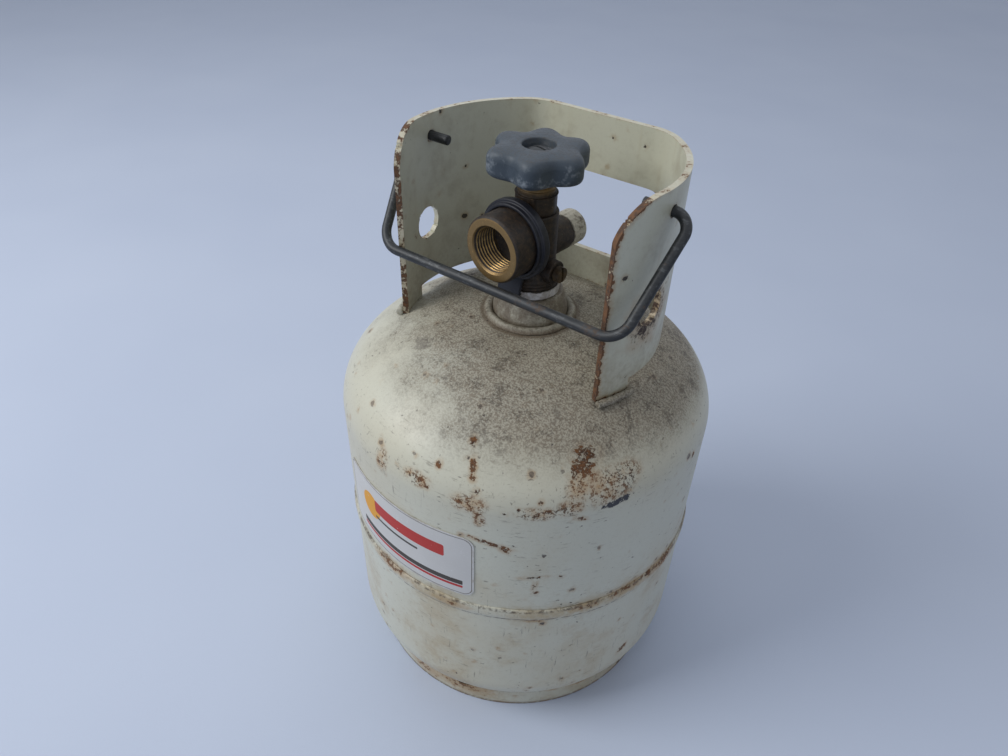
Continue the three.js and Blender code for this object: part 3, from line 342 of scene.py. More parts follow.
# dust on the dome, thick round the boss and behind, thin on the front left shoulder, and painted shade
# painted shade: the dust grows towards the back right, away from the window, and darkens it as shade would
dust_shade_ramp = mm.part("X") * 0.0042 + mm.part("Y") * 0.0036
settled_dust_and_shade = height.between(186.0, 220.0) * (dust_shade_ramp + cloud * 1.3 + 0.30)
near_boss = from_axis.between(64.0, 24.0) * 0.42
dust_and_shade = (settled_dust_and_shade + near_boss * height.between(210.0, 226.0)).between(0.14, 1.0)
grit = (fine * 0.75 + ragged * 0.25).between(0.42, 0.58)
dusty_and_shaded = dust_and_shade * (grit * 0.36 + 0.58) * (1.0 - height.between(231.5, 233.5) * 0.45)
dark_grit_and_shade = dust_and_shade * (mm.noise(1.5, 3.0, 0.7) * 0.8 + lumpy * 0.75).between(0.76, 0.98) * 0.75

# stains, handling dirt, scratches, and pits with a rusty edge all over the wall
mottle = (fine * 0.5 + ragged * 0.5).between(0.50, 0.66)
stain = (cloud * 0.6 + wide * 0.5).between(0.50, 0.72) * height.between(215.0, 120.0)
stain_low = (cloud + ragged * 0.3).between(0.60, 0.84) * height.between(170.0, 60.0)
scrape = mm.scaled((1.0, 1.0, 7.0)).noise(9.0, 5.0, 0.7).between(0.585, 0.66)
upright_scrape = mm.scaled((3.0, 3.0, 0.3)).noise(5.0, 4.0, 0.7).between(0.61, 0.69)
scratched = (scrape * cloud.between(0.40, 0.60) + upright_scrape * wide.between(0.44, 0.58)) * 0.62
warped = mm.warped(1.6, 2.6)
patchy = (cloud + lumpy * 0.5).between(0.62, 0.86)
big_pits = warped.dots(10.5, 0.30, 0.36)
specks = warped.dots(4.2, 0.28, 0.36)
dashes = warped.scaled((1.0, 1.0, 3.2)).dots(7.5, 0.30, 0.36)
pits = (big_pits.between(0.03, 0.07) * patchy.most(0.6)).most(specks.between(0.04, 0.11) * patchy.most(0.5))
pits = pits.most(dashes.between(0.03, 0.10) * 0.6)
pit_halo = big_pits.between(-0.14, 0.06) * lumpy.between(0.40, 0.56)

# marks in their own places: heading, height, tilt, half length, half width and distance from the axis
WEAR = {
    "bare_close": [
        (-38.7, 204.5, 20, 6.5, 6.5, 92.2), (-37.0, 207.6, 0, 6.5, 3.6, 89.2),
        (-41.5, 202.0, -30, 2.2, 3.2, 94.3), (-64.4, 162.0, -13, 10.0, 1.6, 101.6),
        (-60.0, 159.0, -40, 3.4, 2.2, 101.6), (-70.3, 202.5, 8, 1.7, 3.6, 93.9),
        (-69.7, 198.0, 0, 1.9, 1.6, 97.0), (-80.2, 199.6, 0, 1.7, 1.9, 95.2),
        (-99.6, 186.0, 0, 1.6, 2.8, 101.2), (-51.5, 138.3, 4, 7.0, 1.3, 101.6),
        (-50.9, 132.0, 82, 5.0, 1.3, 101.6), (-50.6, 126.0, 0, 1.6, 1.8, 101.6),
        (-16.2, 45.4, 50, 4.0, 2.6, 101.6), (-1.7, 109.5, 0, 6.0, 2.4, 101.6),
        (-12.0, 110.5, 0, 4.0, 1.7, 101.6), (-72.3, 209.7, 0, 1.9, 1.8, 84.4),
        (-68.0, 193.0, 0, 1.7, 1.7, 98.9), (-84.6, 190.0, 0, 1.8, 1.8, 100.1),
        (-88.0, 189.4, 0, 1.6, 1.5, 100.3), (-82.3, 187.6, 0, 1.6, 1.5, 100.9),
        (-69.6, 185.7, 0, 1.7, 1.7, 101.2), (-72.3, 187.0, 0, 1.5, 1.5, 101.1),
        (-67.2, 180.6, 0, 1.8, 1.8, 101.6), (-66.9, 175.4, 0, 1.7, 1.6, 101.6),
        (-56.8, 186.2, 0, 1.8, 1.8, 101.2), (-60.3, 183.8, 0, 1.6, 1.6, 101.5),
        (-52.0, 183.8, 0, 2.3, 1.8, 101.5), (-49.1, 185.7, 0, 1.8, 1.8, 101.2),
        (-46.7, 185.8, 0, 1.7, 1.6, 101.2), (-50.9, 191.1, 0, 1.5, 1.5, 99.7),
        (-43.4, 138.0, 0, 1.7, 1.5, 101.6), (1.8, 182.7, 0, 1.9, 2.2, 101.6),
        (-40.3, 180.2, -20, 4.2, 1.4, 101.6), (-158.0, 172.0, 15, 5.5, 3.0, 101.6),
        (118.0, 188.0, -12, 7.5, 4.0, 101.3), (64.0, 150.0, 30, 6.5, 1.6, 101.6),
    ],
    "dots_close": [
        (-31.3, 194.0, 10, 12.0, 8.0, 99.1), (-26.1, 197.0, 10, 7.5, 5.0, 98.0),
        (-40.8, 196.0, 0, 5.0, 5.5, 98.0), (-43.0, 187.0, 0, 6.0, 4.0, 101.3),
        (-51.5, 184.5, 0, 9.0, 3.4, 101.5), (-70.0, 186.0, 0, 8.0, 4.5, 101.2),
        (-99.0, 187.0, 0, 3.5, 6.0, 101.2), (-86.0, 189.5, 0, 7.0, 3.5, 100.2),
        (-67.0, 177.0, 0, 3.0, 4.0, 101.6), (-153.0, 168.0, 0, 12.0, 6.0, 101.6),
        (124.0, 186.0, 0, 12.0, 7.0, 101.5),
    ],
    "seam_close": [
        (-6.0, 109.5, 0, 17.0, 5.0, 101.6), (-20.0, 110.0, 0, 14.0, 3.4, 101.6),
        (-75.0, 107.5, 0, 9.0, 2.8, 101.6), (-98.0, 109.5, 0, 17.0, 4.0, 101.6),
        (-50.0, 102.0, 0, 6.0, 1.8, 101.6), (-75.0, 11.0, 0, 20.0, 6.0, 93.0),
        (-92.0, 8.0, 0, 14.0, 5.0, 92.5), (-40.0, 14.0, 0, 6.0, 2.2, 93.5),
        (-28.0, 12.0, 0, 8.0, 1.8, 92.5), (72.0, 108.0, 0, 20.0, 3.6, 101.6),
        (170.0, 108.0, 0, 15.0, 4.0, 101.6), (45.7, 13.4, 0, 13.0, 3.4, 93.5),
        (165.7, 13.4, 0, 13.0, 3.4, 93.5), (-112.0, 128.0, 0, 6.0, 8.0, 101.6),
        (-35.0, 109.0, 0, 9.0, 2.6, 101.6),
    ],
    "scuff_close": [
        (-30.0, 185.0, 9, 9.0, 2.0, 101.4), (-150.0, 150.0, -14, 8.0, 1.6, 101.6),
    ],
    "smear_close": [
        (-43.8, 219.6, 60, 9.0, 4.0, 70.5), (-120.7, 223.9, 20, 11.0, 5.0, 59.6),
    ],
}

shape_noise = (ragged - 0.5) * 2.4 + (lumpy - 0.5) * 1.0
broken = (ragged * 0.6 + fine * 0.45).between(0.40, 0.52)
bare = (mm.kept("bare_close") - 1.1 + shape_noise * 1.1).between(0.0, 0.30) * broken
bare_halo = mm.kept("bare_close").between(0.15, 1.2) * (lumpy + ragged * 0.4).between(0.48, 0.80) * 0.5
dotted = mm.kept("dots_close")
orange_dots = dotted.between(0.55, 1.35) * (ragged * 0.6 + fine * 0.45).between(0.51, 0.59)
orange_halo = dotted.between(0.35, 1.5) * (lumpy + ragged * 0.4).between(0.48, 0.85) * 0.6
by_seam = mm.kept("seam_close")
seam_rust = (by_seam - 1.55 + shape_noise * 1.6).between(0.0, 0.5) * by_seam.between(0.2, 0.6) * broken
seam_halo = (by_seam - 0.4 + shape_noise * 0.6).between(0.0, 1.2) * by_seam.between(0.0, 0.5) * 0.6
low_break = (ragged * 0.7 + lumpy * 0.35).between(0.44, 0.54) * 0.95
high_break = (ragged * 0.6 + lumpy * 0.45).between(0.46, 0.60) * 0.8
low_line = (height - 103.3).size().between(1.2, 0.3) * low_break
high_line = (height - 110.4).size().between(1.7, 0.3) * high_break
seam_lines = low_line.most(high_line)
seam_warm = (height - 108.0).size().between(10.0, 2.0) * (cloud + ragged * 0.3).between(0.52, 0.82) * 0.5
foot_edge = height.between(3.4, 0.4) * (ragged * 0.6 + lumpy * 0.5).between(0.36, 0.58)
foot_joint = (height - 14.6).size().between(2.2, 0.3) * (lumpy + ragged * 0.4).between(0.52, 0.76) * 0.85
black_scuff = (mm.kept("scuff_close") - 1.0 + shape_noise * 0.7).between(0.0, 0.25) * broken
dark_smear = (mm.kept("smear_close") - 1.0 + shape_noise * 0.8).between(0.0, 0.9) * 0.6
groove = (from_axis - 25.0).size().between(2.4, 0.4) * height.between(222.0, 228.0) * 0.7
hub_dirt = from_axis.between(26.0, 18.0) * height.between(226.0, 231.0)
hub_dirt = hub_dirt * (lumpy + ragged * 0.5).between(0.45, 0.80) * 0.8

rust = bare.most(orange_dots * 0.9).most(seam_rust * 0.9).most(foot_edge * 0.85).most(foot_joint * 0.6)
rust_shade = (ragged * 0.6 + lumpy * 0.45).between(0.42, 0.66)
cream = wide.between(0.3, 0.7).blend((0.545, 0.555, 0.475), (0.53, 0.515, 0.415))
colour = cream.coat(mottle * 0.22, (0.36, 0.34, 0.26)).coat(stain * 0.40, (0.42, 0.34, 0.20))
colour = colour.coat(stain_low * 0.40, (0.36, 0.26, 0.13)).coat(pit_halo * 0.55, (0.34, 0.20, 0.08))
colour = colour.coat(orange_halo, (0.38, 0.21, 0.07)).coat(seam_halo.most(bare_halo), (0.36, 0.21, 0.08))
colour = colour.coat(seam_warm, (0.38, 0.27, 0.12)).coat(scratched, (0.15, 0.13, 0.10))
# the dust coat below is partly painted shade on the dome's back right
colour = colour.coat(dusty_and_shaded, (0.160, 0.132, 0.096)).coat(dark_grit_and_shade, (0.052, 0.040, 0.028))
colour = colour.coat(groove, (0.11, 0.08, 0.05)).coat(hub_dirt, (0.12, 0.09, 0.06))
colour = colour.coat(dark_smear, (0.09, 0.075, 0.06)).coat(seam_lines, (0.06, 0.043, 0.03))
colour = colour.coat(pits, (0.045, 0.032, 0.024))
rust_tone = rust_shade.blend((0.028, 0.015, 0.010), (0.155, 0.066, 0.023))
colour = colour.coat(rust, rust_tone).coat(black_scuff, (0.022, 0.023, 0.030))
roughness = dusty_and_shaded * 0.35 + rust * 0.40 + mm.noise(5.0, 3.0) * 0.12 + 0.32
relief = mm.noise(3.2, 1.0) * 0.05 + rust * (fine * 0.30 - 0.16) - pits * 0.12 + dusty_and_shaded * fine * 0.10
lay_finish(shader, colour, roughness, relief)


def painted(name, grids, nodes):
    """A piece in the tank's cream paint, which keeps how near its points lie to each kind of mark."""
    points = np.concatenate([grid.reshape(-1, 3) for grid, _, _ in grids])
    wear = {key: closeness(points, marks) for key, marks in WEAR.items()}
    return piece(name, grids, tank_paint, "cylinder", nodes, 38.0, wear)


def dense(profile, step):
    """A profile with points added so that none of its straight stretches is longer than a step."""
    points = np.asarray(profile, float)
    parts = np.ceil(np.linalg.norm(np.diff(points, axis=0), axis=1) / step).astype(int).clip(1)
    place = np.concatenate([k + np.arange(n) / n for k, n in enumerate(parts)] + [[len(parts)]])
    whole = np.arange(len(points))
    return np.stack([np.interp(place, whole, points[:, 0]), np.interp(place, whole, points[:, 1])], -1)


tank_inside = TANK_RADIUS - WALL
belly_inside = BELLY_RADIUS - WALL
corner_inside = CORNER_RADIUS - WALL
belly_middle = 805.9
knuckle = TANK_RADIUS - CORNER_RADIUS
crown = math.degrees(math.asin(knuckle / (BELLY_RADIUS - CORNER_RADIUS)))
lower_profile = np.concatenate([
    arc(0, belly_middle, BELLY_RADIUS, BELLY_RADIUS, -90, -90 + crown, 12)[:-1],
    arc(knuckle, lower_tangent, CORNER_RADIUS, CORNER_RADIUS, -90 + crown, 0, 20),
    np.stack([np.full(40, TANK_RADIUS), np.linspace(39, seam - 2.5, 40)], -1),
    [(99.5, seam - 0.4), (99.5, seam + 12), (97.7, seam + 12), (97.7, seam - 0.4), (tank_inside, seam - 2.5)],
    arc(knuckle, lower_tangent, corner_inside, corner_inside, 0, -90 + crown, 10),
    arc(0, belly_middle, belly_inside, belly_inside, -90 + crown, -90, 6)[1:],
])
lower_profile[[0, -1], 0] = 0.0
painted("lower_half", [(turned(lower_profile, 360), True, False)], ["lower_head"])

# Upper half of the vessel: a drawn cup with a two-to-one dome, open in the middle for the boss.
# It slips over the lower half's rim, and the bead of the girth weld closes the step outside.
boss_hole = 19.8
outer_end = math.degrees(math.acos(boss_hole / TANK_RADIUS))
inner_end = math.degrees(math.acos(boss_hole / tank_inside))
upper_profile = np.concatenate([
    np.stack([np.full(48, TANK_RADIUS), np.linspace(seam + 2.5, 180, 48)], -1),
    arc(0, upper_tangent, TANK_RADIUS, DOME_RISE, 0, outer_end, 80),
    arc(0, upper_tangent, tank_inside, DOME_RISE - WALL, inner_end, 0, 20),
    [(tank_inside, seam + 2.5)],
])
painted("upper_half", [(turned(upper_profile, 400), True, True)], ["upper_head"])


def ripple(angle, waves):
    """A sum of sines round a circle: amplitude, number of waves and phase for each."""
    return sum(size * np.sin(count * angle + phase) for size, count, phase in waves)


seam_angle = np.linspace(0, 2 * np.pi, 240, endpoint=False)[:, None]
seam_profile = np.concatenate([
    arc(101.7, seam, 1.05, 4.3, -90, 90, 14),
    [(101.3, seam + 2.2), (99.8, seam + 2.2), (99.8, seam - 0.1), (101.3, seam - 2.2)],
])
bead = turned(seam_profile, 240)
swell = 1 + ripple(seam_angle, [(0.0007, 7, 0.4), (0.0006, 19, 1.0), (0.0004, 61, 0)])
bead[..., :2] *= swell[..., None]
bead[..., 2] += ripple(seam_angle, [(0.35, 5, 1.2), (0.2, 17, 0.3)])
painted("girth_weld_bead", [(bead, True, True)], ["girth_weld"])

# Foot ring: a strip of sheet rolled to a hoop, stitched inside to the lower half by three short welds.
# Three shallow vents are cut in its upper edge, and its lower edge is rusting.
foot_angle = np.linspace(0, 2 * np.pi, 216, endpoint=False)[:, None]
foot_outer = 92.5
foot_inner = 90.0


def foot_top(radius):
    """Height of the lower half's round corner above a radius, less the weld gap."""
    return lower_tangent - np.sqrt((CORNER_RADIUS + 0.3) ** 2 - (radius - knuckle) ** 2)


foot_corners = [(foot_inner, 0), (foot_outer, 0), (foot_outer, foot_top(foot_outer)),
                (foot_inner, foot_top(foot_inner))]
foot_profile = dense(eased(foot_corners, 0.7), 1.2)
hoop = turned(foot_profile, 216)
vent_headings = np.radians((-74.3, 45.7, 165.7))
vent_width = 22.0
vent_depth = 4.5
to_vent = [(foot_angle - heading + np.pi) % (2 * np.pi) - np.pi for heading in vent_headings]
to_vent = np.min(np.abs(to_vent), 0)
vent_radius = (vent_width**2 / 4 + vent_depth**2) / (2 * vent_depth)
inside_vent = np.clip(vent_radius**2 - (to_vent * foot_outer) ** 2, 0, None)
vent_drop = np.clip(vent_depth - vent_radius + np.sqrt(inside_vent), 0, None)
hoop[..., 2] -= vent_drop * np.clip((hoop[..., 2] - 4.0) / 10.0, 0, 1)
painted("foot_hoop", [(hoop, True, True)], ["foot_ring"])


def swept(path, section, binormal):
    """A flat section carried along a path in a plane: path + a binormal + b (tangent x binormal).

    Both ends close to a point through two shrinking sections.
    """
    tangent = np.gradient(path, axis=0)
    tangent /= np.linalg.norm(tangent, axis=1, keepdims=True)
    normal = np.cross(tangent, binormal)
    body = path[:, None] + section[None, :, :1] * binormal + section[None, :, 1:] * normal[:, None]
    rows = [body]
    for end, sign in ((0, -1.0), (-1, 1.0)):
        middle = path[end]
        depth = np.abs(section).min(0).min() + 0.16 * np.abs(section).max()
        cap = [middle + (body[end] - middle) * share + tangent[end] * sign * depth * out
               for share, out in ((0.86, 0.65), (0.5, 1.0), (0.0, 1.0))]
        rows.append(np.stack(cap))
    return np.concatenate([rows[1][::-1], rows[0], rows[2]])


def round_section(radius, sides):
    """A circle of a radius as a section."""
    angle = np.linspace(0, 2 * np.pi, sides, endpoint=False)
    return radius * np.stack([np.cos(angle), np.sin(angle)], -1)


def bead_along(path, radius, binormal):
    """A weld bead: a round section along a path, swelling and sinking with its ripples."""
    tube = swept(path, round_section(radius, 16), np.array(binormal, float))
    middle = np.concatenate([path[:1]] * 3 + [path] + [path[-1:]] * 3)[:, None]
    wave = 1 + 0.09 * np.sin(np.arange(len(tube)) * 0.9)[:, None, None]
    return middle + (tube - middle) * np.minimum(wave, 1.0)


def level_arc(radius, height, middle, span, steps):
    """A level arc round the Z axis, with its middle heading and its span in radians."""
    angle = middle + np.linspace(-span / 2, span / 2, steps)
    return np.stack([radius * np.cos(angle), radius * np.sin(angle), np.full(steps, height)], -1)


stitch_axis = foot_inner * math.cos(math.pi / 40) - 2.3
stitch_height = lower_tangent - math.sqrt((CORNER_RADIUS + 2.3) ** 2 - (stitch_axis - knuckle) ** 2)
for k in range(3):
    between_vents = vent_headings[0] + math.radians(60 + 120 * k)
    stitch = level_arc(stitch_axis, stitch_height, between_vents, 40 / stitch_axis, 48)
    bead = bead_along(stitch, 2.0, (0, 0, 1))
    painted(f"foot_stitch_{k + 1}", [(bead, False, True)], [f"foot_ring_weld_{k + 1}"])

# Valve boss: a turned steel hub with a tapered bore, set into the dome's hole and welded round.
# The bead is a broad uneven ring, and dirt fills the groove between the two.
boss_top = 244.916


def dome(radius):
    """Height of the dome's outside at a radius."""
    return upper_tangent + DOME_RISE * np.sqrt(1 - (np.asarray(radius) / TANK_RADIUS) ** 2)


boss_foot = float(dome(19.5))
boss_profile = eased([(13.2, boss_foot - 5.8), (19.5, boss_foot - 5.8), (19.5, boss_foot + 3.0),
                      (16.5, boss_top), (13.45, boss_top)], 0.8)
painted("boss_hub", [(turned(boss_profile, 96), True, True)], ["valve_boss"])
weld_in, weld_out = dome([19.8, 24.8])
weld_profile = eased([(19.8, weld_in + 0.2), (24.8, weld_out + 0.2), (24.2, weld_out + 1.5),
                      (22.3, float(dome(22.3)) + 2.9), (19.8, weld_in + 1.5)], 1.3)
boss_ring = turned(weld_profile, 144)
ring_angle = np.linspace(0, 2 * np.pi, 144, endpoint=False)[:, None]
boss_ring[..., :2] *= (1 + ripple(ring_angle, [(0.004, 5, 0.2), (0.004, 11, 1.1), (0.003, 37, 0)]))[..., None]
painted("boss_weld_ring", [(boss_ring, True, True)], ["boss_weld"])

# Collar: a guard of 3 mm sheet with round sides and a flat back, standing on three feet welded to the dome.
# It has a hand window behind, a round hole and a pin hole in each side, and chipped rusty edges.
collar_rim = 318.616
collar_middle = 67.5
collar_outer = 69.0
bend_radius = 23.5
blend_middle = np.array([28.53, 33.5])
blend_start = math.atan2(blend_middle[1], blend_middle[0])
mouth = math.radians(28.0)
side_length = collar_middle * (blend_start + mouth)
blend_length = bend_radius * (math.pi / 2 - blend_start)
half_length = side_length + blend_length + blend_middle[0]


def collar_plan(along):
    """Plan of the sheet's middle and its outward normal at a length from the middle of the flat back.

    A straight back, a bend of 23.5 mm, then an arc of 67.5 mm round the axis; the left mirrors the right.
    """
    length = half_length - np.abs(along)
    on_side = np.clip(length, None, side_length)
    angle = on_side / collar_middle - mouth
    bend = blend_start + np.clip(length - side_length, 0, blend_length) / bend_radius
    back = np.clip(length - side_length - blend_length, 0, None)
    round_part = length <= side_length
    normal_angle = np.where(round_part, angle, bend)
    normal = np.stack([np.cos(normal_angle), np.sin(normal_angle)], -1)
    bent = blend_middle + bend_radius * normal - np.stack([back, np.zeros_like(back)], -1)
    point = np.where(round_part[..., None], collar_middle * normal, bent)
    mirror = np.where(along < 0, -1.0, 1.0)[..., None] * np.array([1.0, 0.0]) + np.array([0.0, 1.0])
    return point * mirror, normal * mirror


def collar_outside(along, height):
    """Distance outside the sheet's outline: below 0 on metal, above 0 in its holes and past its edges."""
    point, _ = collar_plan(along)
    x, y = point[..., 0], point[..., 1]
    front = np.abs(along) - half_length
    front_y = -collar_outer * math.sin(mouth)
    corner_round = 22.0
    corner_y = y - (front_y + corner_round)
    corner_z = height - (collar_rim - corner_round)
    past_round = np.hypot(corner_y, corner_z) - corner_round
    corner = np.where((corner_y < 0) & (corner_z > 0), past_round, -corner_round)
    heading = np.arctan2(y, np.abs(x))
    foot = dome(np.clip(np.hypot(x, y), 0, 100)) + 0.3
    arch = 226.4
    front_foot = (heading + mouth) * collar_middle - 20
    back_foot = 14 - np.abs(x)
    past_foot = np.minimum(front_foot, np.where(y > 0, -back_foot, front_foot))
    low = np.maximum(foot - height, np.minimum(arch - height, past_foot))
    wide_x, wide_z = np.abs(x) - 33, np.abs(height - 265.416) - 10.5
    past_corner = np.hypot(np.clip(wide_x, 0, None), np.clip(wide_z, 0, None))
    window = past_corner + np.minimum(np.maximum(wide_x, wide_z), 0) - 12
    window = np.where(y > 0, window, 50.0)
    hole = np.hypot(y + 4.3, height - 261.416) - 8.75
    pin = np.hypot(y - 1, height - 307.416) - 3.0
    return np.max([front, height - collar_rim, corner, low, -window, -hole, -pin], 0)


columns = np.linspace(-half_length, half_length, 260)
levels = np.linspace(217.0, collar_rim, 96)
along, rising = np.meshgrid(columns, levels, indexing="ij")
cell = columns[1] - columns[0]
for _ in range(4):
    out = collar_outside(along, rising)
    slope_a = (collar_outside(along + 0.05, rising) - collar_outside(along - 0.05, rising)) / 0.1
    slope_z = (collar_outside(along, rising + 0.05) - collar_outside(along, rising - 0.05)) / 0.1
    step = np.where(np.abs(out) < 0.62 * cell, out / np.maximum(slope_a**2 + slope_z**2, 0.2), 0.0)
    along = np.clip(along - step * slope_a, -half_length, half_length)
    rising = np.clip(rising - step * slope_z, 217.0, collar_rim)
out = collar_outside(along, rising).ravel()
plan, plan_normal = collar_plan(along)


def thick_sheet(middle, normal, half, keep):
    """Points and faces of a sheet: its kept faces on both sides of the middle, and walls along every edge."""
    rows, cols = middle.shape[:2]
    faces = grid_faces(rows, cols, False, False)
    faces = faces[keep.ravel()[faces].all(1)]
    sides = [(middle + normal * half).reshape(-1, 3), (middle - normal * half).reshape(-1, 3)]
    points = np.concatenate(sides)
    count = rows * cols
    edges = np.stack([faces, np.roll(faces, -1, 1)], -1).reshape(-1, 2)
    codes = np.sort(edges, 1) @ np.array([count, 1])
    _, first, times = np.unique(codes, return_index=True, return_counts=True)
    rim = edges[first[times == 1]]
    walls = np.stack([rim[:, 1], rim[:, 0], rim[:, 0] + count, rim[:, 1] + count], -1)
    every = np.concatenate([faces, faces[:, ::-1] + count, walls])
    used, compact = np.unique(every, return_inverse=True)
    return points[used], compact.reshape(-1, 4), used % count


middle = np.concatenate([plan, rising[..., None]], -1)
normal = np.concatenate([plan_normal, np.zeros_like(rising)[..., None]], -1)
collar_points, collar_faces, source = thick_sheet(middle, normal, 1.5, out < 0.04)

collar_paint, mm, shader = new_finish("chipped_collar_paint")
edge = mm.kept("from_edge")
height = mm.part("Z")
fine = mm.noise(0.9, 2.0)
ragged = mm.noise(2.4, 4.0, 0.65)
lumpy = mm.noise(8.0, 4.0, 0.6)
cloud = mm.noise(30.0, 4.0, 0.6)
wide = mm.noise(80.0, 2.0)
front = mm.part("Y").between(-6.0, -24.0)
front_right = mm.part("X").between(30.0, 52.0) * front
front_left = mm.part("X").between(-30.0, -52.0) * front
bite = (ragged - 0.5) * 3.0 + (lumpy - 0.5) * 3.4 + front_right * 1.1 + front_left * 0.55
rim_rust = (bite - 0.30 - edge * 0.7).between(0.0, 0.4)
rim_halo = (bite * 1.2 + 1.2 + front_right * 0.8 - edge).between(0.0, 3.2) * 0.6
worn = mm.kept("hole_close")
hole_rust = (worn - 1.0 + (ragged - 0.5) * 2.6).between(0.0, 0.6) * worn.between(0.2, 0.7)
hole_halo = (worn - 0.3 + (lumpy - 0.5) * 1.5).between(0.0, 1.0) * worn.between(0.0, 0.5) * 0.5
warped = mm.warped(1.6, 2.6)
big_pits = warped.dots(12.0, 0.32, 0.30)
pits = big_pits.between(0.03, 0.06).most(warped.dots(5.0, 0.34, 0.32).between(0.04, 0.09) * 0.75)
pit_halo = big_pits.between(-0.14, 0.06) * lumpy.between(0.40, 0.58)
dirt = height.between(262.0, 224.0) * (cloud * 0.7 + ragged * 0.4).between(0.36, 0.72)
smudge = (cloud * 0.6 + lumpy * 0.45).between(0.50, 0.72) * 0.40
runs = mm.scaled((1.0, 1.0, 0.10)).noise(5.0, 3.0).between(0.58, 0.75) * 0.22
cream = wide.between(0.3, 0.7).blend((0.525, 0.535, 0.445), (0.51, 0.505, 0.39))
mottle = (fine * 0.5 + ragged * 0.5).between(0.50, 0.66)
colour = cream.coat(mottle * 0.16, (0.34, 0.32, 0.24)).coat(runs, (0.40, 0.34, 0.21))
colour = colour.coat(smudge, (0.27, 0.235, 0.16)).coat(pit_halo * 0.5, (0.30, 0.19, 0.08))
colour = colour.coat(dirt * 0.62, (0.25, 0.20, 0.13)).coat(rim_halo, (0.36, 0.22, 0.09))
colour = colour.coat(hole_halo, (0.34, 0.19, 0.07)).coat(pits, (0.05, 0.04, 0.03))
rust = rim_rust.most(hole_rust)
rust_shade = ragged * 0.6 + lumpy * 0.45 + front_right * 0.06 - hole_rust * 0.14
rust_tone = rust_shade.between(0.46, 0.70).blend((0.030, 0.018, 0.013), (0.145, 0.066, 0.026))
colour = colour.coat(rust, rust_tone)
roughness = dirt * 0.25 + rust * 0.42 + mm.noise(5.0, 3.0) * 0.12 + 0.30
relief = mm.noise(3.2, 1.0) * 0.05 + rust * (fine * 0.28 - 0.18) - pits * 0.1
lay_finish(shader, colour, roughness, relief)

HOLE_RUST = [(-4.5, 259.0, 60, 15.0, 13.5, 68.0), (-6.5, 251.0, 90, 7.0, 5.0, 69.0),
             (34.5, 300.0, 0, 4.0, 3.0, 69.0)]
collar_wear = {"from_edge": np.clip(-out[source], 0, 40),
               "hole_close": closeness(collar_points, HOLE_RUST)}
collar = shell("collar_sheet", collar_points, collar_faces, collar_paint, "cylinder",
               ["collar"], 45.0, collar_wear)
rounding = collar.modifiers.new("rounded_edges", "BEVEL")
rounding.width = 0.0005
rounding.segments = 2
rounding.limit_method = "ANGLE"
rounding.angle_limit = math.radians(60)

# Weld beads along the outside of the collar's three feet, laid by hand in the corner with the dome.
# They hold the collar on the vessel, and the same cream paint covers them.


def bead_height(radius):
    """Height of a bead whose middle lies at a radius on the dome."""
    return upper_tangent + 53.0 * math.sqrt(1 - (radius / 103.8) ** 2)


foot_bead_axis = 71.2
foot_bead_height = bead_height(foot_bead_axis)
foot_heading = -mouth + 10 / collar_outer
for name, heading in (("front_right", foot_heading), ("front_left", math.pi - foot_heading)):
    curve = level_arc(foot_bead_axis, foot_bead_height, heading, 20 / collar_outer, 36)
    bead = bead_along(curve, 1.9, (0, 0, 1))
    painted(f"collar_bead_{name}", [(bead, False, True)], [f"collar_weld_{name}"])
back_axis = 60.7
back_height = bead_height(back_axis)
back_line = np.stack([np.linspace(-14, 14, 36), np.full(36, back_axis), np.full(36, back_height)], -1)
painted("collar_bead_back", [(bead_along(back_line, 1.9, (0, 0, 1)), False, True)], ["collar_weld_back"])

# Label: a printed film sticker on the wall above the girth weld, with plain colour fields and a hairline
# border, faded and dirty. Its corners are round and it follows the wall.
LABEL_HALF = 46.0
LABEL_TALL = 45.0
LABEL_CORNER = 6.0
label_low = seam + 10.3
rise = np.linspace(0, LABEL_TALL, 60)
from_corner = np.clip(LABEL_CORNER - np.minimum(rise, LABEL_TALL - rise), 0, None)
half_width = LABEL_HALF - LABEL_CORNER + np.sqrt(LABEL_CORNER**2 - from_corner**2)
sideways = half_width[:, None] * np.linspace(-1, 1, 110)[None, :]
label_angle = math.radians(-94.2) + sideways / TANK_RADIUS
outward = np.stack([np.cos(label_angle), np.sin(label_angle), np.zeros_like(label_angle)], -1)
upright = np.zeros_like(label_angle) + rise[:, None]
label_middle = outward * (TANK_RADIUS + 0.32)
label_middle[..., 2] = label_low + upright
label_points, label_faces, source = thick_sheet(label_middle, outward, 0.18, np.ones(label_angle.shape, bool))

label_film, mm, shader = new_finish("printed_label_film")
across = mm.kept("across")
up = mm.kept("up")


def field(middle_a, middle_u, half_a, half_u, corner):
    """A printed rectangle with round corners: 1 inside, 0 outside, with a slightly soft edge."""
    a = ((across - middle_a).size() - (half_a - corner)).most(0.0)
    u = ((up - middle_u).size() - (half_u - corner)).most(0.0)
    far = a.math("SQRT", a * a + u * u, 0.0)
    return (far - corner).between(0.08, -0.08)


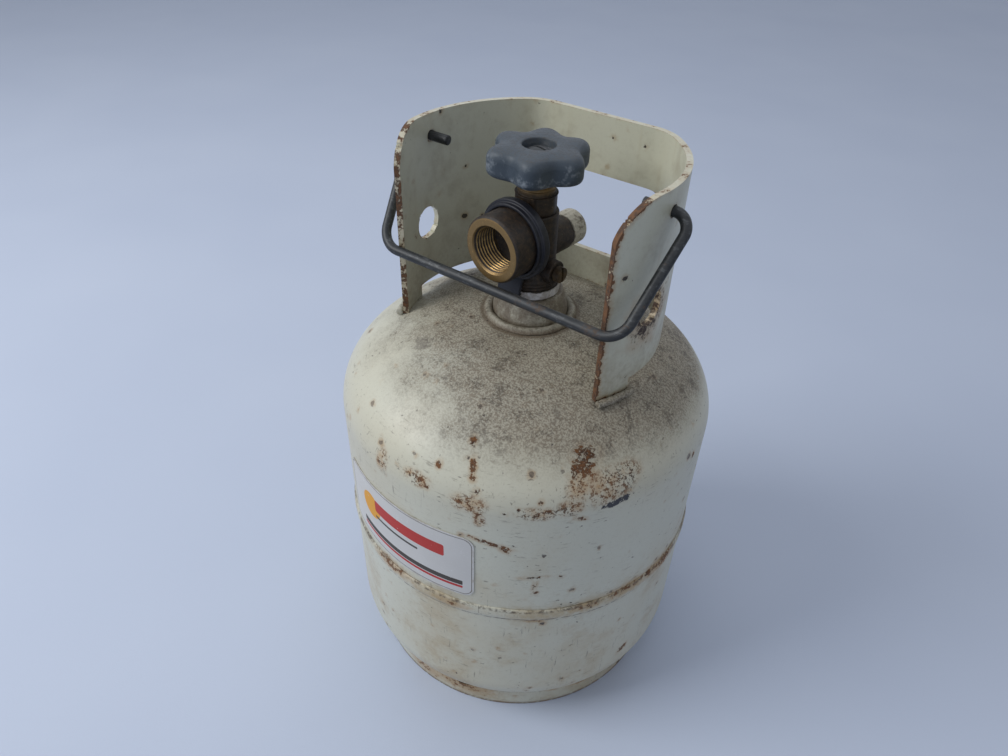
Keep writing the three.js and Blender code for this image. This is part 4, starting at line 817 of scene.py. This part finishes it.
worn_print = (mm.noise(1.3, 4.0, 0.7) + mm.noise(14.0, 2.0) * 0.4).between(0.50, 0.60)
scuffed = mm.noise(3.0, 4.0, 0.7).between(0.64, 0.70)
colour = mm.noise(25.0, 3.0).blend((0.56, 0.57, 0.58), (0.64, 0.65, 0.66))
border = field(0, LABEL_TALL / 2, LABEL_HALF - 0.9, LABEL_TALL / 2 - 0.9, 5.2)
inner = field(0, LABEL_TALL / 2, LABEL_HALF - 1.35, LABEL_TALL / 2 - 1.35, 4.8)
ink = 1.0 - scuffed * 0.8
colour = colour.coat((border - inner) * 0.85, (0.05, 0.05, 0.055))
colour = colour.coat(field(-22, 27.5, 8.5, 8.5, 8.5) * ink, (0.75, 0.34, 0.012))
colour = colour.coat(field(6, 30.5, 24.0, 4.2, 1.2) * ink, (0.46, 0.008, 0.014))
colour = colour.coat(field(-2, 22.4, 16.0, 0.8, 0.4) * ink, (0.03, 0.03, 0.035))
colour = colour.coat(field(4, 9.6, 36.0, 1.7, 0.5) * ink, (0.025, 0.025, 0.03))
colour = colour.coat(field(4, 6.4, 36.0, 0.9, 0.4) * ink, (0.46, 0.008, 0.016))
grime = worn_print * 0.16 + (1.0 - inner) * mm.noise(4.0, 3.0).between(0.4, 0.7) * 0.35
specks = mm.dots(7.0, 0.60, 0.35).between(0.0, 0.06)
colour = colour.coat(grime, (0.25, 0.20, 0.13)).coat(specks, (0.08, 0.05, 0.03))
shader.inputs["Specular IOR Level"].default_value = 0.3
roughness = scuffed * 0.2 + mm.noise(8.0, 2.0) * 0.10 + 0.48
lay_finish(shader, colour, roughness, mm.noise(6.0, 2.0) * 0.04 - scuffed * 0.03)
shell("label_sticker", label_points, label_faces, label_film, "cylinder", ["label"], 50.0,
      {"across": sideways.ravel()[source], "up": upright.ravel()[source]})

# Bail handle: one 5 mm plated steel rod bent to a wide U, its two pins sprung into the collar's side holes.
# It has swung forward and its grip leans on the collar's front edges.
PIVOT = np.array([0.0, 1.0, 307.416])
bail_reach = 60.0
bail_top = 77.0
bail_low = 72.5
bail_lean = math.atan2(bail_top - bail_low, bail_reach)
pin_turn = math.tan((math.pi / 2 - bail_lean) / 2) * 8
grip_turn = math.tan((math.pi / 2 + bail_lean) / 2) * 12


def bend(x, z, radius, start, end):
    """Points of a bend in the handle's plane, from one angle to another in radians."""
    angle = np.linspace(start, end, 22)
    return np.stack([x + radius * np.cos(angle), z + radius * np.sin(angle)], -1)


pin_bend = bend(bail_top - pin_turn, -8, 8, math.pi / 2, -bail_lean)
grip_bend = bend(bail_low - grip_turn, 12 - bail_reach, 12, -bail_lean, -math.pi / 2)
right_half = np.concatenate([
    np.stack([np.linspace(55.0, bail_top - pin_turn, 14)[:-1], np.zeros(13)], -1),
    pin_bend,
    np.linspace(pin_bend[-1], grip_bend[0], 14)[1:-1],
    grip_bend,
])
grip_half = bail_low - grip_turn
grip = np.stack([np.linspace(grip_half, -grip_half, 40)[1:-1], np.full(38, -bail_reach)], -1)
bail_line = np.concatenate([right_half, grip, right_half[::-1] * [-1, 1]])
tilt = math.asin((-collar_outer * math.sin(mouth) - 2.8 - 1.0) / bail_reach)
bail_along = bail_line[:, 1]
bail_path = np.stack([bail_line[:, 0], -bail_along * math.sin(tilt), bail_along * math.cos(tilt)], -1)
bail_across = np.array([0.0, math.cos(tilt), math.sin(tilt)])
bail_tube = swept(bail_path, round_section(2.5, 20), bail_across) + PIVOT

rod_steel, mm, shader = new_finish("dull_plated_rod")
ragged = mm.noise(2.0, 4.0, 0.65)
streaks = mm.scaled((0.18, 1.0, 1.0)).noise(1.6, 3.0, 0.6)
cloud = mm.noise(22.0, 3.0)
tarnish = (streaks * 0.6 + cloud * 0.5).between(0.40, 0.68)
rubbed = (ragged * 0.5 + streaks * 0.6).between(0.60, 0.70)
brown = (cloud * 0.7 + ragged * 0.5).between(0.66, 0.80)
colour = tarnish.blend((0.017, 0.019, 0.021), (0.038, 0.041, 0.044))
colour = colour.coat(rubbed * 0.55, (0.105, 0.112, 0.118)).coat(brown * 0.7, (0.085, 0.052, 0.030))
roughness = tarnish * 0.12 + brown * 0.25 + 0.42
lay_finish(shader, colour, roughness, ragged * 0.06 + brown * 0.05, 0.45 - brown * 0.3)
piece("bail_rod", [(bail_tube, False, True)], rod_steel, "bail", ["bail_handle"])

# Valve body: one brass forging screwed into the boss: a tapered shank, a spine, the big outlet barrel to the
# front, the relief arm behind and the bleeder's small arm on the right. Grime has turned it nearly black.
VALVE_TURN = math.radians(-5.6)
body_base = 253.916
outlet_line = 277.116
relief_line = 268.216
bleeder_line = 258.916
body_top = 287.916


def headed(points):
    """Points turned about the Z axis to the valve's heading."""
    c, s = math.cos(VALVE_TURN), math.sin(VALVE_TURN)
    return points @ np.array([[c, s, 0], [-s, c, 0], [0, 0, 1.0]])


TO_FRONT = [[1.0, 0, 0], [0, 0, 1], [0, -1, 0]]
TO_BACK = [[1.0, 0, 0], [0, 0, -1], [0, 1, 0]]
TO_RIGHT = [[0, 0, -1.0], [0, 1, 0], [1, 0, 0]]


def laid(points, turn, height):
    """Points made along +Z, turned to lie along another axis at a height, in the valve's heading."""
    return headed(points @ np.array(turn) + [0, 0, height])


def threaded(grid, pitch, depth, low, high, hand):
    """A turned grid whose radius follows a triangle wave, one pitch a turn, between two heights."""
    angle = np.arctan2(grid[..., 1], grid[..., 0])
    phase = grid[..., 2] / pitch - hand * angle / (2 * np.pi)
    wave = np.abs((phase % 1.0) * 2 - 1) - 0.5
    fade = np.clip((grid[..., 2] - low) / pitch, 0, 1) * np.clip((high - grid[..., 2]) / pitch, 0, 1)
    radius = np.maximum(np.hypot(grid[..., 0], grid[..., 1]), 1e-6)
    scale = 1 + depth * wave * fade / radius
    return np.concatenate([grid[..., :2] * scale[..., None], grid[..., 2:]], -1)


def spanner_flats(grid, low, high, inside, share):
    """A turned grid pressed to six soft flats between two heights, outside a radius."""
    across, along, rise = grid[..., :1], grid[..., 1:2], grid[..., 2:]
    on_nut = (rise > low) & (rise < high) & (np.hypot(across, along) > inside)
    scale = np.where(on_nut, share + 0.035 * np.cos(6 * np.arctan2(along, across)), 1.0)
    return np.concatenate([grid[..., :2] * scale, rise], -1)


def shank_radius(height):
    """Radius of the tapered shank at a height."""
    return 13.4 - (body_base - height) / 32


shank_levels = np.linspace(240.0, body_base - 0.6, 96)
body_corners = [(13.4, body_base - 0.3), (13.4, body_base + 0.4), (11.5, body_base + 2.6), (11.5, body_top),
                (0, body_top)]
spine_profile = np.concatenate([
    [(0, 225.2), (shank_radius(225.2), 225.2)],
    np.stack([shank_radius(shank_levels), shank_levels], -1),
    eased(body_corners, 0.8, False)[1:],
])
spine = threaded(turned(spine_profile, 96), 1.814, 0.8, 240.0, body_base - 0.6, 1)
face_y = 31.193
bore_rows = 110
floor_rows = 4
bore_levels = np.linspace(face_y - 15.0, face_y - 0.9, bore_rows)
barrel_corners = [(10.5, 10.2), (10.5, 10.8), (16.45, 11.9), (16.45, face_y - 1.1), (15.4, face_y),
                  (12.2, face_y)]
barrel_profile = np.concatenate([
    [(0, 0), (10.5, 0), (10.5, 10.0)],
    eased(barrel_corners, 0.7, False)[1:],
    [(11.9, face_y - 0.3)],
    np.stack([np.full(bore_rows, 11.35), bore_levels[::-1]], -1),
    [(11.0, face_y - 15.1), (4.0, face_y - 17.0), (3.9, 4.0), (0, 4.0)],
])
barrel = turned(barrel_profile, 128)
inside_bore = np.zeros(len(barrel_profile), bool)
inside_bore[-bore_rows - floor_rows:-floor_rows] = True
threads = threaded(barrel, 1.814, 1.15, face_y - 15.5, face_y - 0.2, -1)
barrel = np.where(inside_bore[None, :, None], threads, barrel)
# bore thread: crests worn to bright brass, valleys left dark as painted shade; the lip half worn, the floor
# grimy
bore_wear_and_shade = np.clip((11.5 - np.hypot(barrel[..., 0], barrel[..., 1])) / 0.75, 0, 1) * inside_bore
bore_wear_and_shade[:, -bore_rows - floor_rows - 5:-bore_rows - floor_rows] = 0.52
bore_wear_and_shade[:, -floor_rows:] = 0.1
relief_corners = [(0, 0), (9.15, 0), (9.15, 21.8), (7.65, 21.8), (7.65, 28.3), (5.4, 28.3), (5.4, 12.5),
                  (2.2, 12.5), (2.2, 9.2), (0, 9.2)]
relief_arm = spanner_flats(turned(eased(relief_corners, 0.6, False), 80), 12.6, 21.9, 8.0, 0.97)
bleeder_corners = [(0, 0), (6, 0), (6, 15.5), (2.2, 15.5), (2.2, 9.2), (0, 9.2)]
bleeder_arm = turned(eased(bleeder_corners, 0.7, False), 64)
body_grids = [headed(spine), laid(barrel, TO_FRONT, outlet_line), laid(relief_arm, TO_BACK, relief_line),
              laid(bleeder_arm, TO_RIGHT, bleeder_line)]
polish_and_shade = [np.zeros(grid.shape[:2]).ravel() for grid in body_grids]
polish_and_shade[1] = bore_wear_and_shade.ravel()


def brass_finish(name, clean):
    """Forged brass under brown-black grime; clean gives the share of bright metal from the points."""
    material, mm, shader = new_finish(name)
    fine = mm.noise(0.7, 3.0)
    ragged = mm.noise(2.2, 4.0, 0.65)
    cloud = mm.noise(11.0, 4.0, 0.6)
    bright = clean(mm)
    grime = (1.0 - bright) * (cloud * 0.45 + 0.72)
    grime = grime.most((cloud * 0.6 + ragged * 0.5).between(0.50, 0.72) * 0.55)
    glint = (ragged * 0.6 + fine * 0.45).between(0.60, 0.70) * 0.30
    colour = cloud.blend((0.27, 0.165, 0.055), (0.42, 0.275, 0.105))
    dirt_tone = ragged.between(0.35, 0.65).blend((0.008, 0.0055, 0.004), (0.034, 0.021, 0.012))
    cover = (grime - glint).between(0.0, 0.92)
    specks = mm.dots(3.0, 0.60, 0.5).between(0.0, 0.1) * 0.4
    colour = colour.coat(cover, dirt_tone).coat(specks, (0.20, 0.17, 0.13))
    relief = fine * 0.10 + ragged * 0.14 * cover
    lay_finish(shader, colour, cover * 0.30 + fine * 0.10 + 0.24, relief, 0.95 - cover * 0.75)
    return material


# the kept values also leave the outlet thread's valleys dark as painted shade
body_brass = brass_finish("grimy_forged_brass", lambda mm: mm.kept("polish_and_shade"))
piece("valve_forging", [(grid, True, False) for grid in body_grids], body_brass, "cylinder",
      ["valve_body"], 32.0, {"polish_and_shade": np.concatenate(polish_and_shade)})

# Thread tape: thin white tape wound round the shank's thread to seal it, showing just above the boss.
# It is dusty, and its upper edge is a little frayed.
tape_angle = np.linspace(0, 2 * np.pi, 160, endpoint=False)[:, None]
tape_profile = eased([(13.7, 245.2), (14.5, 245.2), (14.5, 249.4), (13.7, 249.4)], 0.35)
tape = turned(tape_profile, 160)
fray = ripple(tape_angle, [(0.25, 3, 0.3), (0.15, 13, 1.0), (0.10, 41, 2.0)])
tape[..., 2] += np.where(tape[..., 2] > 247, np.minimum(fray, 0.0), 0.0)
tape[..., :2] *= (1 + ripple(tape_angle, [(0.006, 9, 0.0), (0.004, 23, 1.0)]))[..., None]
tape_finish, mm, shader = new_finish("dusty_white_tape")
wound = mm.scaled((0.3, 0.3, 1.0)).noise(0.6, 2.0)
soil = (mm.noise(5.0, 4.0) + mm.noise(1.2, 2.0) * 0.4).between(0.55, 0.85)
colour = wound.blend((0.56, 0.56, 0.58), (0.66, 0.66, 0.67)).coat(soil * 0.6, (0.20, 0.16, 0.12))
lay_finish(shader, colour, soil * 0.2 + 0.55, wound * 0.20)
piece("shank_tape", [(headed(tape), True, True)], tape_finish, "cylinder", ["thread_tape"])

# Bonnet, stem and the trim inside: a screwed brass cap that guides the stem, whose tang drives the spindle.
# The bonnet's lower part has worn flats for a spanner; what is inside keeps its plain turned shape.
bonnet_profile = eased([(6.6, 282.7), (8.8, 282.7), (8.8, 288.2), (10.5, 288.2), (10.5, 297.2), (9.2, 297.2),
                        (9.2, 299.4), (8.6, 299.9), (8.6, 301.0), (9.0, 301.6), (9.0, 303.2), (4.5, 303.2),
                        (4.5, 288.2), (6.6, 288.2)], 0.35)
bonnet = spanner_flats(turned(bonnet_profile, 96), 288.4, 297.0, 9.0, 0.965)
bonnet_brass = brass_finish("worn_bonnet_brass", lambda mm: mm.part("Z").between(296.5, 301.0) * 0.42 + 0.06)
piece("bonnet_cap", [(headed(bonnet), True, True)], bonnet_brass, "cylinder", ["bonnet"])
trim_brass = brass_finish("oily_trim_brass", lambda mm: mm.noise(6.0, 3.0) * 0.5)
seal_rubber, mm, shader = new_finish("black_seal_rubber")
bloom = mm.noise(2.5, 4.0)
colour = bloom.blend((0.012, 0.012, 0.012), (0.035, 0.034, 0.033))
lay_finish(shader, colour, bloom * 0.2 + 0.6, bloom * 0.05)
inner_trim = [
    (trim_brass, ["valve_stem", "lower_spindle", "relief_poppet", "relief_retainer", "dip_tube"]),
    (seal_rubber, ["stem_seal", "seat_disc", "relief_seal"]),
    (rod_steel, ["relief_spring"]),
]
for finish, names in inner_trim:
    for name in names:
        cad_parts[name].data.materials.clear()
        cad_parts[name].data.materials.append(finish)

# Handwheel: a cast knob with six lobes and a thick round rim, hollow below, painted blue-grey.
# A slotted screw in the middle recess holds it on the stem.
wheel_low = 306.4
wheel_high = 319.9
recess = wheel_high - 4.5
hub_corners = [(3.3, 304.0), (7.0, 304.0), (7.0, recess - 3.5), (17.0, recess - 3.5),
               (17.6, wheel_low + 0.6)]
recess_corners = [(12.0, wheel_high), (8.0, wheel_high - 0.2), (7.4, recess), (3.3, recess), (3.3, 304.5)]
wheel_profile = np.concatenate([
    eased(hub_corners, 1.0, False),
    arc(19.6, wheel_low + 2.0, 1.7, 2.0, -90, -85, 2),
    arc(21.0, wheel_low + 3.9, 4.0, 3.9, -80, 0, 14),
    arc(20.2, wheel_high - 5.2, 4.8, 5.0, 0, 78, 16),
    [(18.0, wheel_high - 0.10), (14.0, wheel_high - 0.02), (12.6, wheel_high)],
    eased(recess_corners, 0.7, False)[:-1],
])
wheel = turned(wheel_profile, 192)
wheel_angle = np.linspace(0, 2 * np.pi, 192, endpoint=False)[:, None]
wheel_radius = np.hypot(wheel[..., 0], wheel[..., 1])
outer_share = np.clip((wheel_radius - 11.0) / 14.0, 0, 1) ** 1.5
wave = (1 - np.cos(6 * wheel_angle)) / 2
wheel[..., :2] *= (1 - 5.2 * outer_share * wave / np.maximum(wheel_radius, 1.0))[..., None]
upper_part = wheel[..., 2] > wheel_high - 5.0
wheel[..., 2] -= 1.6 * outer_share * wave * upper_part
wheel_paint, mm, shader = new_finish("worn_blue_grey_casting")
fine = mm.noise(0.8, 3.0)
ragged = mm.noise(2.2, 4.0, 0.65)
cloud = mm.noise(12.0, 4.0, 0.6)
height = mm.part("Z")
from_axis = mm.from_axis()
top_dust = height.between(317.6, 319.6) * (fine * 0.6 + ragged * 0.5).between(0.48, 0.66)
rubbed = (cloud * 0.7 + ragged * 0.4).between(0.53, 0.68) * height.between(319.2, 315.0)
soil = from_axis.between(9.5, 6.5) * 0.55 + height.between(309.0, 305.0) * 0.45
colour = cloud.blend((0.022, 0.034, 0.048), (0.046, 0.063, 0.082))
colour = colour.coat(top_dust * 0.45, (0.080, 0.074, 0.068)).coat(rubbed * 0.55, (0.27, 0.30, 0.33))
colour = colour.coat(soil * ragged.between(0.3, 0.6), (0.045, 0.038, 0.030))
specks = mm.dots(4.0, 0.60, 0.45).between(0.0, 0.08)
colour = colour.coat(specks, (0.03, 0.025, 0.02))
lay_finish(shader, colour, top_dust * 0.2 + cloud * 0.15 + 0.44, fine * 0.10 + ragged * 0.16, 0.1)
piece("handwheel_knob", [(headed(wheel), True, True)], wheel_paint, "handwheel",
      ["handwheel"], 50.0)


def slotted(grid, half, floor):
    """A turned head with a straight slot: points near the middle line sink to the slot's floor."""
    in_slot = (np.abs(grid[..., 1]) < half) & (grid[..., 2] > floor)
    sunk = grid.copy()
    sunk[..., 2] = np.where(in_slot, floor, grid[..., 2])
    return sunk


head_low = recess + 0.3
screw_corners = [(0, recess - 8), (1.7, recess - 8), (1.7, head_low), (4.6, head_low), (4.6, head_low + 1.6)]
screw_profile = np.concatenate([
    eased(screw_corners, 0.3, False),
    np.stack([np.linspace(4.3, 0.0, 26), head_low + 1.75 + 0.65 * np.sin(np.linspace(0, np.pi / 2, 26))], -1),
])
screw = slotted(turned(screw_profile, 120), 0.55, head_low + 1.2)
piece("wheel_screw", [(headed(screw), True, False)], rod_steel, "handwheel", ["handwheel_screw"])

# Relief valve's dust cap: a pale moulded plastic cup pushed over the nose of the back arm.
# Its side is finely ribbed, and dirt sits in the ribs.
cap_corners = [(0, 31.5), (7.95, 31.5), (7.95, 22.1), (9.15, 22.1), (9.15, 31.2), (7.9, 32.7), (0, 32.7)]
cap = turned(eased(cap_corners, 0.5, False), 120)
cap_radius = np.hypot(cap[..., :1], cap[..., 1:2])
ribs = np.cos(20 * np.linspace(0, 2 * np.pi, 120, endpoint=False))[:, None, None]
cap[..., :2] *= np.where((cap_radius > 8.6) & (cap[..., 2:] < 31.0), 1 - 0.012 * (1 - ribs), 1.0)
cap_plastic, mm, shader = new_finish("dirty_pale_plastic")
ragged = mm.noise(1.6, 4.0, 0.65)
cloud = mm.noise(7.0, 3.0)
soil = (cloud * 0.5 + ragged * 0.6).between(0.50, 0.68)
colour = cloud.blend((0.40, 0.375, 0.31), (0.52, 0.50, 0.43)).coat(soil * 0.8, (0.085, 0.065, 0.045))
lay_finish(shader, colour, soil * 0.2 + 0.5, ragged * 0.12)
piece("relief_dust_cap", [(laid(cap, TO_BACK, relief_line), True, False)], cap_plastic, "relief_cap",
      ["relief_cap"])

# Bleeder screw: a small slotted brass screw in the right arm that lets vapour out while filling.
# Its cone seats inside the arm, and its head is dull and dirty.
bleeder_profile = np.concatenate([
    eased([(0, 9.8), (1.9, 10.75), (1.9, 15.8), (4.0, 15.8), (4.0, 19.0)], 0.25, False),
    np.stack([np.linspace(3.75, 0.0, 24), 19.2 + 0.2 * np.sin(np.linspace(0, np.pi / 2, 24))], -1),
])
bleeder = slotted(turned(bleeder_profile, 96), 0.5, 17.6)
piece("bleeder_plug", [(laid(bleeder, TO_RIGHT, bleeder_line), True, False)], trim_brass, "bleeder",
      ["bleeder_screw"])

# Strap of the lost outlet plug: a soft plastic ring stretched over the barrel, and the strap's broad tail,
# which hangs down in front of the shank. Blue-black, dusty.
strap_corners = [(16.75, 12.3), (20.1, 12.3), (20.1, 16.3), (18.45, 16.3), (18.45, 18.5), (16.75, 18.5)]
strap_ring = turned(eased(strap_corners, 0.7), 128)
tail_top = np.array([15.3, outlet_line - 18.4])
tail_low = np.array([17.5, boss_top + 2.5])
tail_bend = np.array([16.9, outlet_line - 23.5])
t = np.linspace(0, 1, 30)[:, None]
tail_line = (1 - t) ** 2 * tail_top + 2 * t * (1 - t) * tail_bend + t**2 * tail_low
tail_path = np.stack([np.zeros(30), -tail_line[:, 0], tail_line[:, 1]], -1)
tail_section = eased([(-7, -1), (7, -1), (7, 1), (-7, 1)], 0.6)
tail = swept(tail_path, tail_section, np.array([1.0, 0.0, 0.0]))
strap_plastic, mm, shader = new_finish("blue_black_soft_plastic")
ragged = mm.noise(1.8, 4.0, 0.65)
cloud = mm.noise(9.0, 3.0)
film = (cloud * 0.5 + ragged * 0.55).between(0.50, 0.74)
colour = cloud.blend((0.008, 0.009, 0.014), (0.016, 0.018, 0.026)).coat(film * 0.28, (0.07, 0.065, 0.06))
shader.inputs["Specular IOR Level"].default_value = 0.3
lay_finish(shader, colour, film * 0.2 + 0.42, ragged * 0.06)
strap_grids = [(laid(strap_ring, TO_FRONT, outlet_line), True, True), (headed(tail), False, True)]
piece("plug_strap_ring", strap_grids, strap_plastic, "cylinder", ["plug_strap"])
